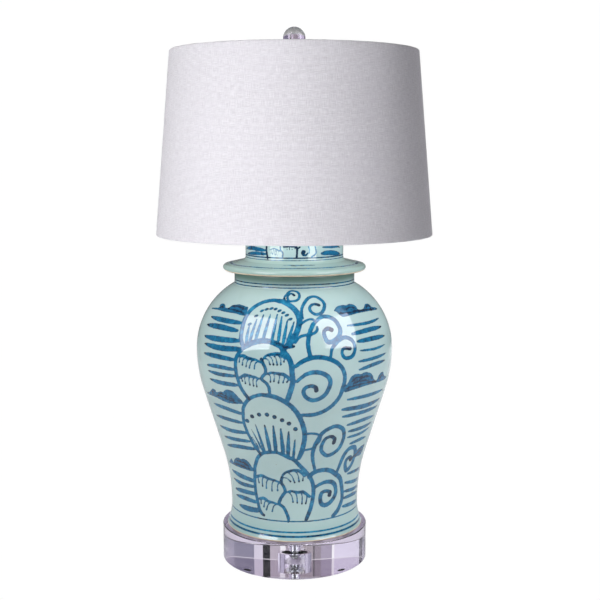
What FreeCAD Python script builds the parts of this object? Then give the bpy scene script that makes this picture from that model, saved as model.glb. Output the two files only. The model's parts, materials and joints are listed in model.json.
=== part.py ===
import FreeCAD, Part
import math
import os
import Sketcher

# Ginger jar table lamp. Millimetres, +Z up, origin on the floor under the middle of the base.

# ---------------------------------------------------------------------------------------------
# Driving sizes: name, value
# ---------------------------------------------------------------------------------------------
SIZES = {
    # rubber feet
    "foot_radius": 6.0,
    "foot_height": 2.0,
    "foot_circle": 90.0,
    # acrylic base
    "base_radius": 109.0,
    "base_thickness": 53.0,
    "base_edge": 1.2,
    "base_bore": 5.4,
    "recess_radius": 17.0,
    "recess_depth": 15.0,
    "cord_hole_radius": 5.5,
    "cord_hole_height": 10.0,
    # lamp pipe, its nuts and washers
    "pipe_radius": 4.9,
    "pipe_bore": 3.3,
    "pipe_bottom": 6.0,
    "pipe_top": 549.0,
    "nut_across_corners": 18.4,
    "nut_height": 4.5,
    "washer_radius": 13.0,
    "washer_thickness": 1.6,
    "lock_washer_radius": 9.0,
    "lock_washer_thickness": 1.2,
    # jar: radii and heights of its outline, from the foot to the neck
    "foot_ring_inner": 90.0,
    "foot_ring_recess": 6.0,
    "foot_ring_edge": 2.0,
    "jar_waist_radius": 95.4,
    "jar_waist_height": 88.1,
    "jar_flare_curve": 76.9,
    "jar_hollow_curve": 285.7,
    "jar_rise_radius": 108.37,
    "jar_rise_height": 173.17,
    "jar_swell_radius": 137.06,
    "jar_swell_height": 265.12,
    "jar_swell_curve": 199.6,
    "jar_belly_radius": 146.1,
    "jar_belly_height": 324.6,
    "jar_shoulder_curve": 112.0,
    "jar_wall": 8.0,
    "jar_floor": 9.0,
    "jar_hole": 6.5,
    "neck_radius": 89.0,
    "neck_root_fillet": 3.0,
    "neck_rim_height": 441.0,
    "neck_rim_edge": 2.5,
    # lid
    "brim_radius": 105.8,
    "brim_edge_curve": 4.6,
    "brim_rise": 5.6,
    "lid_radius": 72.4,
    "lid_fillet": 5.5,
    "lid_wall": 6.0,
    "lid_shoulder_curve": 24.0,
    "lid_top_height": 512.0,
    "lid_flat_radius": 33.0,
    "lid_flange_radius": 79.0,
    "lid_flange_wall": 6.0,
    "lid_flange_depth": 14.0,
    # vase cap and neck tube
    "vase_cap_radius": 30.0,
    "vase_cap_height": 7.0,
    "sheet_metal": 1.2,
    "neck_tube_radius": 8.0,
    # harp saddle, harp and sleeves
    "saddle_width": 13.0,
    "saddle_thickness": 2.0,
    "saddle_half_span": 29.0,
    "saddle_bend": 9.0,
    "saddle_arm_top": 553.0,
    "saddle_post_top": 562.0,
    "wire_radius": 2.1,
    "harp_leg_top": 585.0,
    "harp_half_width": 57.0,
    "harp_bow_curve": 46.0,
    "harp_crown_curve": 47.0,
    "harp_height": 744.0,
    "harp_eye_radius": 8.0,
    "sleeve_bore": 2.5,
    "sleeve_radius": 3.6,
    "sleeve_length": 16.0,
    "sleeve_bottom": 554.0,
    # swivel stud
    "stud_radius": 3.1,
    "stud_top": 764.0,
    "stud_seat_radius": 10.0,
    "stud_seat_height": 748.4,
    "stud_seat_thickness": 2.0,
    "shank_radius": 3.6,
    "running_gap": 0.08,
    "side_gap": 0.3,
    # socket and switch
    "socket_bottom": 538.0,
    "socket_radius": 16.6,
    "socket_metal": 0.6,
    "socket_cap_top": 561.0,
    "socket_top": 603.0,
    "liner_thickness": 0.8,
    "socket_body_radius": 12.5,
    "socket_body_bottom": 562.0,
    "socket_body_top": 579.0,
    "screw_shell_radius": 13.9,
    "screw_shell_metal": 0.5,
    "screw_shell_top": 600.0,
    "switch_height": 571.0,
    "switch_shaft_radius": 1.6,
    "switch_shaft_inner": 5.0,
    "switch_shaft_end": 25.0,
    "switch_hole": 3.2,
    "knob_radius": 6.5,
    "knob_start": 19.5,
    "knob_end": 32.0,
    "knob_groove": 1.0,
    # bulb
    "contact_bottom": 581.0,
    "bulb_cap_radius": 12.9,
    "bulb_cap_bottom": 585.0,
    "bulb_cap_top": 609.0,
    "bulb_radius": 30.0,
    "bulb_centre": 661.0,
    "bulb_neck_radius": 12.2,
    "bulb_glass_wall": 0.9,
    # shade
    "shade_bottom_radius": 203.2,
    "shade_bottom_height": 493.2,
    "shade_top_radius": 180.3,
    "shade_top_height": 758.9,
    "cloth": 0.6,
    "styrene": 0.6,
    "ring_wire": 1.4,
    "ring_gap": 0.1,
    "hem": 10.0,
    "spider_wire": 1.25,
    "spider_hub_overlap": 1.4,
    "spider_hub_radius": 12.0,
    "spider_hub_thickness": 2.0,
    # finial
    "finial_ball_radius": 16.2,
    "finial_ball_height": 777.0,
    "finial_seat_height": 763.0,
    "finial_base_radius": 9.0,
    "finial_waist_radius": 5.6,
    "finial_post_radius": 2.4,
    "finial_post_top": 770.0,
}
FEET = 4
KNOB_GROOVES = 12
SPIDER_ARMS = 3
MAX_NAME = 60


# ---------------------------------------------------------------------------------------------
# Sizes that carry both their number and their formula over the sheet
# ---------------------------------------------------------------------------------------------
class Size:
    """A size with its number and the formula that ties it to the sheet's cells."""

    def __init__(self, number, formula=None):
        self.number = float(number)
        self.formula = formula or "%.6f" % number

    def __add__(self, other):
        other = as_size(other)
        return Size(self.number + other.number, "(%s + %s)" % (self.formula, other.formula))

    def __sub__(self, other):
        other = as_size(other)
        return Size(self.number - other.number, "(%s - %s)" % (self.formula, other.formula))

    def __mul__(self, other):
        other = as_size(other)
        return Size(self.number * other.number, "(%s * %s)" % (self.formula, other.formula))

    def __truediv__(self, other):
        other = as_size(other)
        return Size(self.number / other.number, "(%s / %s)" % (self.formula, other.formula))

    def __neg__(self):
        return Size(-self.number, "(0 - %s)" % self.formula)

    def root(self):
        return Size(math.sqrt(self.number), "sqrt(%s)" % self.formula)


def as_size(value):
    return value if isinstance(value, Size) else Size(value)


class Sizes:
    """Gives each cell of the sheet as a Size: s.base_radius, s.jar_wall and so on."""

    def __getattr__(self, name):
        return Size(SIZES[name], "sizes." + name)


def fill_sheet(doc):
    sheet = doc.addObject("Spreadsheet::Sheet", "sizes")
    for row, (name, value) in enumerate(SIZES.items(), start=1):
        sheet.set("A%d" % row, name)
        sheet.set("B%d" % row, str(value))
        sheet.setAlias("B%d" % row, name)
    doc.recompute()


doc = FreeCAD.newDocument("ginger_jar_lamp")
fill_sheet(doc)
s = Sizes()
ZERO = Size(0.0)
parts = []


# ---------------------------------------------------------------------------------------------
# Drawing and building helpers
# ---------------------------------------------------------------------------------------------
def keep(part, label):
    """Names a finished sub-part and puts it on the list of those that are written."""
    part.Label = label
    parts.append(part)
    return part


def bind(obj, **sizes):
    for name, size in sizes.items():
        obj.setExpression(name, as_size(size).formula)


def place(obj, x=ZERO, y=ZERO, z=ZERO, turn=None):
    """Puts an object at a point; turn is an axis and an angle in degrees."""
    x, y, z = as_size(x), as_size(y), as_size(z)
    rotation = FreeCAD.Rotation(FreeCAD.Vector(*turn[0]), turn[1]) if turn else FreeCAD.Rotation()
    obj.Placement = FreeCAD.Placement(FreeCAD.Vector(x.number, y.number, z.number), rotation)
    obj.setExpression("Placement.Base.x", x.formula)
    obj.setExpression("Placement.Base.y", y.formula)
    obj.setExpression("Placement.Base.z", z.formula)


def new_sketch(body, plane, offset=None):
    """A sketch on one of the body's own origin planes, moved along its normal by offset."""
    sketch = body.newObject("Sketcher::SketchObject", body.Name + "_sketch")
    support = next(f for f in body.Origin.OriginFeatures if f.Role == plane)
    sketch.AttachmentSupport = (support, [""])
    sketch.MapMode = "FlatFace"
    if offset is not None:
        sketch.AttachmentOffset = FreeCAD.Placement(
            FreeCAD.Vector(0, 0, offset.number), FreeCAD.Rotation())
        sketch.setExpression("AttachmentOffset.Base.z", offset.formula)
    return sketch


def pin_point(sketch, edge, end, x, y):
    """Ties one end of an edge to its distances from the sketch's origin."""
    for kind, axis, size in (("DistanceX", -2, x), ("DistanceY", -1, y)):
        if abs(size.number) < 1e-9:
            sketch.addConstraint(Sketcher.Constraint("PointOnObject", edge, end, axis))
        else:
            at = sketch.addConstraint(Sketcher.Constraint(kind, -1, 1, edge, end, size.number))
            sketch.setExpression("Constraints[%d]" % at, size.formula)


def arc_between(a, b, curve):
    """An arc from a to b: curve above 0 turns left, below 0 turns right."""
    start, end = (a, b) if curve > 0 else (b, a)
    middle = (start + end) * 0.5
    along = end - start
    left = FreeCAD.Vector(-along.y, along.x, 0).normalize()
    reach = math.sqrt(max(curve * curve - (along.Length / 2) ** 2, 0))
    centre = middle + left * reach
    angle_start = math.atan2(start.y - centre.y, start.x - centre.x)
    angle_end = math.atan2(end.y - centre.y, end.x - centre.x)
    circle = Part.Circle(centre, FreeCAD.Vector(0, 0, 1), abs(curve))
    return Part.ArcOfCircle(circle, angle_start, angle_end)


def draw(sketch, corners, closed=True):
    """Draws an outline of lines and arcs, every corner and radius tied to the sheet.

    Each corner is (x, y) or (x, y, curve); curve is the radius of the arc to the next corner.
    """
    points = [tuple(as_size(v) for v in corner) for corner in corners]
    vectors = [FreeCAD.Vector(p[0].number, p[1].number, 0) for p in points]
    count = len(points) if closed else len(points) - 1
    ends = []
    for i in range(count):
        a, b = vectors[i], vectors[(i + 1) % len(points)]
        curve = points[i][2] if len(points[i]) > 2 else None
        if curve is None:
            edge = sketch.addGeometry(Part.LineSegment(a, b), False)
            ends.append((edge, 1, 2))
        else:
            edge = sketch.addGeometry(arc_between(a, b, curve.number), False)
            ends.append((edge, 1, 2) if curve.number > 0 else (edge, 2, 1))
            size = curve if curve.number > 0 else -curve
            at = sketch.addConstraint(Sketcher.Constraint("Radius", edge, size.number))
            sketch.setExpression("Constraints[%d]" % at, size.formula)
    joints = count if closed else count - 1
    for i in range(joints):
        edge, _, last = ends[i]
        after, first, _ = ends[(i + 1) % count]
        sketch.addConstraint(Sketcher.Constraint("Coincident", edge, last, after, first))
    for i in range(count):
        pin_point(sketch, ends[i][0], ends[i][1], points[i][0], points[i][1])
    if not closed:
        pin_point(sketch, ends[-1][0], ends[-1][2], points[-1][0], points[-1][1])


def draw_circle(sketch, x, y, radius):
    x, y, radius = as_size(x), as_size(y), as_size(radius)
    centre = FreeCAD.Vector(x.number, y.number, 0)
    edge = sketch.addGeometry(
        Part.Circle(centre, FreeCAD.Vector(0, 0, 1), radius.number), False)
    pin_point(sketch, edge, 3, x, y)
    at = sketch.addConstraint(Sketcher.Constraint("Radius", edge, radius.number))
    sketch.setExpression("Constraints[%d]" % at, radius.formula)


def new_body(name):
    return doc.addObject("PartDesign::Body", name)


def spin(body, sketch):
    """Turns a sketch, drawn as (radius, height), about the body's Z axis."""
    turn = body.newObject("PartDesign::Revolution", body.Name + "_turn")
    turn.Profile = sketch
    turn.ReferenceAxis = (sketch, ["V_Axis"])
    turn.Angle = 360
    doc.recompute()


def turned(label, outline):
    body = new_body(label)
    sketch = new_sketch(body, "XZ_Plane")
    draw(sketch, outline)
    spin(body, sketch)
    return body


def wire_ring(label, radius, height, wire):
    """A level ring of round wire about the Z axis."""
    body = new_body(label)
    sketch = new_sketch(body, "XZ_Plane")
    draw_circle(sketch, radius, height, wire)
    spin(body, sketch)
    return body


def tube(label, inner, outer, low, high):
    return turned(label, [(inner, low), (outer, low), (outer, high), (inner, high)])


def cut_hole(body, plane, x, y, radius, reversed_side):
    """Drills a round hole from one of the body's origin planes right through one side."""
    before = body.Shape.Volume
    sketch = new_sketch(body, plane)
    draw_circle(sketch, x, y, radius)
    pocket = body.newObject("PartDesign::Pocket", body.Name + "_hole")
    pocket.Profile = sketch
    pocket.Type = "ThroughAll"
    pocket.Reversed = reversed_side
    doc.recompute()
    if body.Shape.Volume > before - 1:
        raise RuntimeError("hole in %s cuts nothing" % body.Name)


def cylinder(name, radius, height, **where):
    solid = doc.addObject("Part::Cylinder", name)
    bind(solid, Radius=radius, Height=height)
    place(solid, **where)
    return solid


def joined(kind, name, shapes):
    whole = doc.addObject(kind, name)
    if kind == "Part::Compound":
        whole.Links = shapes
    else:
        whole.Shapes = shapes
    return whole


def cut(name, base, tool):
    result = doc.addObject("Part::Cut", name)
    result.Base = base
    result.Tool = tool
    return result


def hex_nut(label, bottom):
    prism = doc.addObject("Part::Prism", label + "_blank")
    prism.Polygon = 6
    bind(prism, Circumradius=s.nut_across_corners / 2, Height=s.nut_height)
    place(prism, z=bottom)
    bore = cylinder(label + "_bore", s.pipe_radius, s.nut_height, z=bottom)
    return keep(cut(label, prism, bore), label)


# ---------------------------------------------------------------------------------------------
# Base: rubber feet, acrylic disc, bottom nut and washers, lamp pipe
# ---------------------------------------------------------------------------------------------
def make_feet():
    feet = []
    for i in range(FEET):
        angle = math.radians(45 + i * 360 / FEET)
        foot = doc.addObject("Part::Cone", "foot_%d" % (i + 1))
        bind(foot, Radius1=s.foot_radius * 0.8, Radius2=s.foot_radius, Height=s.foot_height)
        place(foot, x=s.foot_circle * math.cos(angle), y=s.foot_circle * math.sin(angle))
        feet.append(foot)
    keep(joined("Part::Compound", "rubber_feet", feet), "rubber_feet")


def make_base():
    low = s.foot_height
    high = s.foot_height + s.base_thickness
    edge = s.base_edge
    ceiling = low + s.recess_depth
    body = turned("acrylic_base", [
        (s.recess_radius, low),
        (s.base_radius - edge, low, edge),
        (s.base_radius, low + edge),
        (s.base_radius, high - edge, edge),
        (s.base_radius - edge, high),
        (s.base_bore, high),
        (s.base_bore, ceiling),
        (s.recess_radius, ceiling)])
    cut_hole(body, "XZ_Plane", ZERO, s.cord_hole_height, s.cord_hole_radius, False)
    keep(body, "acrylic_base")
    return ceiling, high


def make_bottom_hardware(ceiling):
    washer = ceiling - s.washer_thickness
    lock = washer - s.lock_washer_thickness
    keep(tube("bottom_washer", s.pipe_radius, s.washer_radius, washer, ceiling), "bottom_washer")
    keep(tube("bottom_lock_washer", s.pipe_radius, s.lock_washer_radius, lock, washer),
         "bottom_lock_washer")
    hex_nut("bottom_nut", lock - s.nut_height)
    keep(tube("lamp_pipe", s.pipe_bore, s.pipe_radius, s.pipe_bottom, s.pipe_top), "lamp_pipe")


# ---------------------------------------------------------------------------------------------
# Jar and lid
# ---------------------------------------------------------------------------------------------
def make_jar(floor):
    """The jar's wall follows its outline inside, one wall thickness away."""
    edge = s.foot_ring_edge
    foot_centre = s.jar_waist_radius + s.jar_flare_curve
    ring_top = floor + edge
    drop = s.jar_waist_height - ring_top
    ring_radius = foot_centre - (s.jar_flare_curve * s.jar_flare_curve - drop * drop).root()
    shoulder_centre = s.jar_belly_radius - s.jar_shoulder_curve
    outer_run = s.neck_radius + s.neck_root_fillet - shoulder_centre
    outer_rise = (s.jar_shoulder_curve * s.jar_shoulder_curve - outer_run * outer_run).root()
    shoulder_top = s.jar_belly_height + outer_rise

    wall = s.jar_wall
    lean_r = s.jar_swell_radius - s.jar_rise_radius
    lean_z = s.jar_swell_height - s.jar_rise_height
    slant = (lean_r * lean_r + lean_z * lean_z).root()
    in_r = lean_z / slant * wall
    in_z = lean_r / slant * wall
    inner_curve = s.jar_shoulder_curve - wall
    neck_inner = s.neck_radius - wall
    inner_run = neck_inner - shoulder_centre
    inner_top = s.jar_belly_height + (inner_curve * inner_curve - inner_run * inner_run).root()
    inner_floor = floor + s.foot_ring_recess + s.jar_floor

    keep(turned("jar", [
        (s.foot_ring_inner, floor),
        (ring_radius - edge, floor, edge),
        (ring_radius, ring_top, -s.jar_flare_curve),
        (s.jar_waist_radius, s.jar_waist_height, -s.jar_hollow_curve),
        (s.jar_rise_radius, s.jar_rise_height),
        (s.jar_swell_radius, s.jar_swell_height, s.jar_swell_curve),
        (s.jar_belly_radius, s.jar_belly_height, s.jar_shoulder_curve),
        (s.neck_radius + s.neck_root_fillet, shoulder_top, -s.neck_root_fillet),
        (s.neck_radius, shoulder_top + s.neck_root_fillet),
        (s.neck_radius, s.neck_rim_height - s.neck_rim_edge, s.neck_rim_edge),
        (s.neck_radius - s.neck_rim_edge, s.neck_rim_height),
        (neck_inner, s.neck_rim_height),
        (neck_inner, inner_top, -inner_curve),
        (s.jar_belly_radius - wall, s.jar_belly_height, wall - s.jar_swell_curve),
        (s.jar_swell_radius - in_r, s.jar_swell_height + in_z),
        (s.jar_rise_radius - in_r, s.jar_rise_height + in_z, s.jar_hollow_curve + wall),
        (s.jar_waist_radius - wall, s.jar_waist_height),
        (s.jar_waist_radius - wall, inner_floor),
        (s.jar_hole, inner_floor),
        (s.jar_hole, floor + s.foot_ring_recess),
        (s.foot_ring_inner, floor + s.foot_ring_recess)]), "jar")


def make_lid():
    """The wall turns through a tight bend, then a wide one, into the flat top."""
    curve = s.brim_edge_curve
    seat = s.neck_rim_height
    edge_top = seat + curve * 2
    root = s.lid_radius + s.lid_fillet
    root_top = edge_top + s.brim_rise
    wall_foot = root_top + s.lid_fillet
    bend = s.lid_shoulder_curve
    steep = Size(0.75).root()
    crown = (s.lid_radius - bend / 2 - s.lid_flat_radius) * 2
    shoulder = s.lid_top_height - crown * (-steep + 1)
    wall_top = shoulder - bend * steep
    wall = s.lid_wall
    inner = s.lid_radius - wall
    keep(turned("jar_lid", [
        (s.lid_flange_radius, seat),
        (s.brim_radius - curve, seat, curve),
        (s.brim_radius, seat + curve, curve),
        (s.brim_radius - curve, edge_top),
        (root, root_top, -s.lid_fillet),
        (s.lid_radius, wall_foot),
        (s.lid_radius, wall_top, bend),
        (s.lid_radius - bend / 2, shoulder, crown),
        (s.lid_flat_radius, s.lid_top_height),
        (s.jar_hole, s.lid_top_height),
        (s.jar_hole, s.lid_top_height - wall),
        (s.lid_flat_radius, s.lid_top_height - wall, wall - crown),
        (s.lid_radius - bend / 2 - wall / 2, shoulder - wall * steep, wall - bend),
        (inner, wall_top),
        (inner, edge_top),
        (s.lid_flange_radius - s.lid_flange_wall, edge_top - s.lid_flange_wall),
        (s.lid_flange_radius - s.lid_flange_wall, seat - s.lid_flange_depth),
        (s.lid_flange_radius, seat - s.lid_flange_depth)]), "jar_lid")


def make_cap_stack():
    """Vase cap, washer, nut and neck tube, threaded on the pipe over the lid."""
    low = s.lid_top_height
    high = low + s.vase_cap_height
    metal = s.sheet_metal
    bend = s.vase_cap_height - metal
    keep(turned("vase_cap", [
        (s.vase_cap_radius - metal, low),
        (s.vase_cap_radius, low),
        (s.vase_cap_radius, low + metal, bend),
        (s.vase_cap_radius - bend, high),
        (s.pipe_radius, high),
        (s.pipe_radius, high - metal),
        (s.vase_cap_radius - bend, high - metal, metal - bend),
        (s.vase_cap_radius - metal, low + metal)]), "vase_cap")
    washer_top = high + s.lock_washer_thickness
    keep(tube("cap_washer", s.pipe_radius, s.washer_radius, high, washer_top), "cap_washer")
    hex_nut("top_nut", washer_top)
    nut_top = washer_top + s.nut_height
    saddle = s.socket_bottom - s.saddle_thickness
    keep(tube("neck_tube", s.pipe_radius, s.neck_tube_radius, nut_top, saddle), "neck_tube")
    return saddle


# ---------------------------------------------------------------------------------------------
# Harp saddle, harp, sleeves and swivel stud
# ---------------------------------------------------------------------------------------------
def make_saddle(low):
    """A strip bent up at both ends, with a round post on each end for the harp's leg."""
    thick = s.saddle_thickness
    bend = s.saddle_bend
    outer = s.saddle_half_span + thick / 2
    inner = outer - thick
    turn_in = outer - bend
    body = new_body("saddle_strip")
    sketch = new_sketch(body, "XZ_Plane")
    draw(sketch, [
        (-turn_in, low),
        (turn_in, low, bend),
        (outer, low + bend),
        (outer, s.saddle_arm_top),
        (inner, s.saddle_arm_top),
        (inner, low + bend, thick - bend),
        (turn_in, low + thick),
        (-turn_in, low + thick, thick - bend),
        (-inner, low + bend),
        (-inner, s.saddle_arm_top),
        (-outer, s.saddle_arm_top),
        (-outer, low + bend, bend)])
    pad = body.newObject("PartDesign::Pad", "saddle_strip_pad")
    pad.Profile = sketch
    pad.Midplane = True
    bind(pad, Length=s.saddle_width)
    doc.recompute()
    bore = cylinder("saddle_bore", s.pipe_radius, thick * 3, z=low - thick)
    posts = []
    post_low = s.saddle_arm_top - thick * 2
    for name, side in (("left", -1), ("right", 1)):
        posts.append(cylinder("saddle_post_" + name, s.wire_radius,
                              s.saddle_post_top - post_low,
                              x=s.saddle_half_span * side, z=post_low))
    drilled = cut("saddle_drilled", body, bore)
    keep(joined("Part::MultiFuse", "harp_saddle", [drilled] + posts), "harp_saddle")


def make_harp():
    """One wire from post to post, with an eye for the stud pressed in the middle of its top."""
    leg = s.saddle_half_span
    wide = s.harp_half_width
    bow = s.harp_bow_curve
    crown = s.harp_crown_curve
    shift = (wide - leg) / 2
    half_rise = (bow * bow - (bow - shift) * (bow - shift)).root()
    middle = s.harp_leg_top + half_rise
    bowed = s.harp_leg_top + half_rise * 2
    body = new_body("harp_wire")
    path = new_sketch(body, "XZ_Plane")
    draw(path, [
        (leg, s.saddle_post_top),
        (leg, s.harp_leg_top, -bow),
        (leg + shift, middle, bow),
        (wide, bowed),
        (wide, s.harp_height - crown, crown),
        (wide - crown, s.harp_height),
        (crown - wide, s.harp_height, crown),
        (-wide, s.harp_height - crown),
        (-wide, bowed, bow),
        (-leg - shift, middle, -bow),
        (-leg, s.harp_leg_top),
        (-leg, s.saddle_post_top)], closed=False)
    profile = new_sketch(body, "XY_Plane", offset=s.saddle_post_top)
    draw_circle(profile, leg, ZERO, s.wire_radius)
    pipe = body.newObject("PartDesign::AdditivePipe", "harp_wire_pipe")
    pipe.Profile = profile
    pipe.Spine = path
    doc.recompute()
    low = s.harp_height - s.wire_radius
    eye = cylinder("harp_eye", s.harp_eye_radius, s.wire_radius * 2, z=low)
    bore = cylinder("harp_eye_bore", s.shank_radius + s.running_gap, s.wire_radius * 2, z=low)
    whole = joined("Part::MultiFuse", "harp_with_eye", [body, eye])
    keep(cut("harp", whole, bore), "harp")


def make_sleeves():
    for name, side in (("left", -1), ("right", 1)):
        label = "harp_sleeve_" + name
        low = s.sleeve_bottom
        high = low + s.sleeve_length
        lip = (s.sleeve_radius - s.sleeve_bore) / 2
        sleeve = turned(label, [
            (s.sleeve_bore, low),
            (s.sleeve_radius + lip, low),
            (s.sleeve_radius + lip, low + lip),
            (s.sleeve_radius, low + lip * 2),
            (s.sleeve_radius, high - lip, lip),
            (s.sleeve_radius - lip, high),
            (s.sleeve_bore, high)])
        place(sleeve, x=s.saddle_half_span * side)
        keep(sleeve, label)


def make_stud():
    eye_low = s.harp_height - s.wire_radius - s.side_gap
    eye_high = s.harp_height + s.wire_radius
    seat = s.stud_seat_height
    head = s.shank_radius + 2
    keep(turned("harp_stud", [
        (ZERO, eye_low - s.stud_seat_thickness),
        (head - 1, eye_low - s.stud_seat_thickness),
        (head, eye_low - 1),
        (head, eye_low),
        (s.shank_radius, eye_low),
        (s.shank_radius, eye_high),
        (s.stud_seat_radius, eye_high),
        (s.stud_seat_radius, seat),
        (s.stud_radius, seat),
        (s.stud_radius, s.stud_top - 1),
        (s.stud_radius - 1, s.stud_top),
        (ZERO, s.stud_top)]), "harp_stud")


# ---------------------------------------------------------------------------------------------
# Socket, switch and bulb
# ---------------------------------------------------------------------------------------------
def make_socket():
    metal = s.socket_metal
    low = s.socket_bottom
    inside = s.socket_radius - metal
    hub = low + 7
    keep(turned("socket_cap", [
        (s.pipe_radius, low),
        (s.neck_tube_radius, low),
        (s.neck_tube_radius, hub - 2),
        (inside, s.socket_cap_top - 8),
        (inside, s.socket_cap_top),
        (inside - metal, s.socket_cap_top),
        (inside - metal, s.socket_cap_top - 7.6),
        (s.neck_tube_radius - metal, hub),
        (s.pipe_radius, hub)]), "socket_cap")
    screw = cylinder("socket_set_screw", Size(1.5), Size(4.0),
                     x=s.neck_tube_radius, z=low + 2.5, turn=((0, 1, 0), 90))
    keep(screw, "socket_set_screw")
    shell = turned("socket_shell", [
        (inside, s.socket_cap_top - 7),
        (s.socket_radius + metal, s.socket_cap_top - 7),
        (s.socket_radius + metal, s.socket_cap_top - 5),
        (s.socket_radius, s.socket_cap_top - 4),
        (s.socket_radius, s.socket_top),
        (inside, s.socket_top)])
    cut_hole(shell, "XZ_Plane", ZERO, s.switch_height, s.switch_hole, True)
    keep(shell, "socket_shell")
    liner = tube("socket_liner", inside - s.liner_thickness, inside,
                 s.socket_cap_top, s.socket_top - 1)
    cut_hole(liner, "XZ_Plane", ZERO, s.switch_height, s.switch_hole, True)
    keep(liner, "socket_liner")


def make_socket_inside():
    wide = s.screw_shell_radius
    top = s.socket_body_top
    core = turned("socket_core", [
        (ZERO, s.socket_body_bottom),
        (s.socket_body_radius, s.socket_body_bottom),
        (s.socket_body_radius, top - 3),
        (wide, top - 3),
        (wide, top),
        (ZERO, top)])
    bore = cylinder("switch_bore", s.switch_shaft_radius + s.running_gap, s.knob_start,
                    y=-s.switch_shaft_inner + s.side_gap, z=s.switch_height,
                    turn=((1, 0, 0), 90))
    keep(cut("socket_body", core, bore), "socket_body")
    metal = s.screw_shell_metal
    keep(turned("screw_shell", [
        (wide / 2, top),
        (wide, top),
        (wide, s.screw_shell_top),
        (wide - metal, s.screw_shell_top),
        (wide - metal, top + metal),
        (wide / 2, top + metal)]), "screw_shell")
    contact = cylinder("centre_contact", Size(3.0), s.contact_bottom - s.side_gap - top, z=top)
    keep(contact, "centre_contact")
    screws = []
    for side in (-1, 1):
        start = s.socket_body_radius if side > 0 else -s.socket_body_radius - 2
        screws.append(cylinder("terminal_screw_%d" % (side + 2), Size(2.8), Size(2.0),
                               x=start, z=s.switch_height, turn=((0, 1, 0), 90)))
    keep(joined("Part::Compound", "terminal_screws", screws), "terminal_screws")


def make_switch():
    """The shaft and its fluted knob point to the front, across the harp's plane."""
    to_front = ((1, 0, 0), 90)
    shaft = cylinder("switch_shaft", s.switch_shaft_radius,
                     s.switch_shaft_end - s.switch_shaft_inner,
                     y=-s.switch_shaft_inner, z=s.switch_height, turn=to_front)
    keep(shaft, "switch_shaft")
    edge = 1.2
    blank = turned("knob_blank", [
        (s.switch_shaft_radius, s.knob_start),
        (s.knob_radius, s.knob_start),
        (s.knob_radius, s.knob_end - edge, Size(edge)),
        (s.knob_radius - edge, s.knob_end),
        (ZERO, s.knob_end),
        (ZERO, s.switch_shaft_end),
        (s.switch_shaft_radius, s.switch_shaft_end)])
    grooves = []
    for i in range(KNOB_GROOVES):
        angle = 2 * math.pi * i / KNOB_GROOVES
        reach = s.knob_radius + s.knob_groove * 0.4
        grooves.append(cylinder("knob_groove_%d" % i, s.knob_groove, s.knob_end,
                                x=reach * math.cos(angle), y=reach * math.sin(angle),
                                z=s.knob_start + 1.5))
    knob = cut("switch_knob", blank, joined("Part::Compound", "knob_grooves", grooves))
    place(knob, z=s.switch_height, turn=to_front)
    keep(knob, "switch_knob")


def make_bulb():
    ball = s.bulb_radius
    wall = s.bulb_glass_wall
    neck = s.bulb_neck_radius
    joint_r, joint_z = ball * 0.942, s.bulb_centre - ball * 0.336
    inner_r, inner_z = (ball - wall) * 0.942, s.bulb_centre - (ball - wall) * 0.336
    low = s.bulb_cap_top - 6
    keep(turned("bulb_glass", [
        (neck - wall, low),
        (neck, low),
        (neck, s.bulb_cap_top),
        (joint_r, joint_z, ball),
        (ball, s.bulb_centre, ball),
        (ZERO, s.bulb_centre + ball),
        (ZERO, s.bulb_centre + ball - wall, wall - ball),
        (ball - wall, s.bulb_centre, wall - ball),
        (inner_r, inner_z),
        (neck - wall, s.bulb_cap_top)]), "bulb_glass")
    cap = s.bulb_cap_radius
    bottom = s.bulb_cap_bottom
    keep(turned("bulb_cap", [
        (Size(7.0), bottom),
        (cap - 2, bottom),
        (cap, bottom + 2),
        (cap, s.bulb_cap_top),
        (neck, s.bulb_cap_top),
        (neck, bottom + 4),
        (Size(7.0), bottom + 2)]), "bulb_cap")
    keep(turned("bulb_insulator", [
        (ZERO, bottom - 3),
        (Size(4.5), bottom - 3),
        (Size(7.0), bottom),
        (Size(7.0), bottom + 2),
        (ZERO, bottom + 2)]), "bulb_insulator")
    keep(turned("bulb_contact", [
        (ZERO, s.contact_bottom),
        (Size(3.0), s.contact_bottom),
        (Size(4.0), bottom - 3),
        (ZERO, bottom - 3)]), "bulb_contact")


# ---------------------------------------------------------------------------------------------
# Shade
# ---------------------------------------------------------------------------------------------
def shade_frame():
    """Returns the shade's slant length and a point function: along the slant, then inward."""
    run = s.shade_top_radius - s.shade_bottom_radius
    rise = s.shade_top_height - s.shade_bottom_height
    slant = (run * run + rise * rise).root()

    def point(along, inward):
        along, inward = as_size(along), as_size(inward)
        return (s.shade_bottom_radius + run / slant * along - rise / slant * inward,
                s.shade_bottom_height + rise / slant * along + run / slant * inward)

    return slant, point


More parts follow.
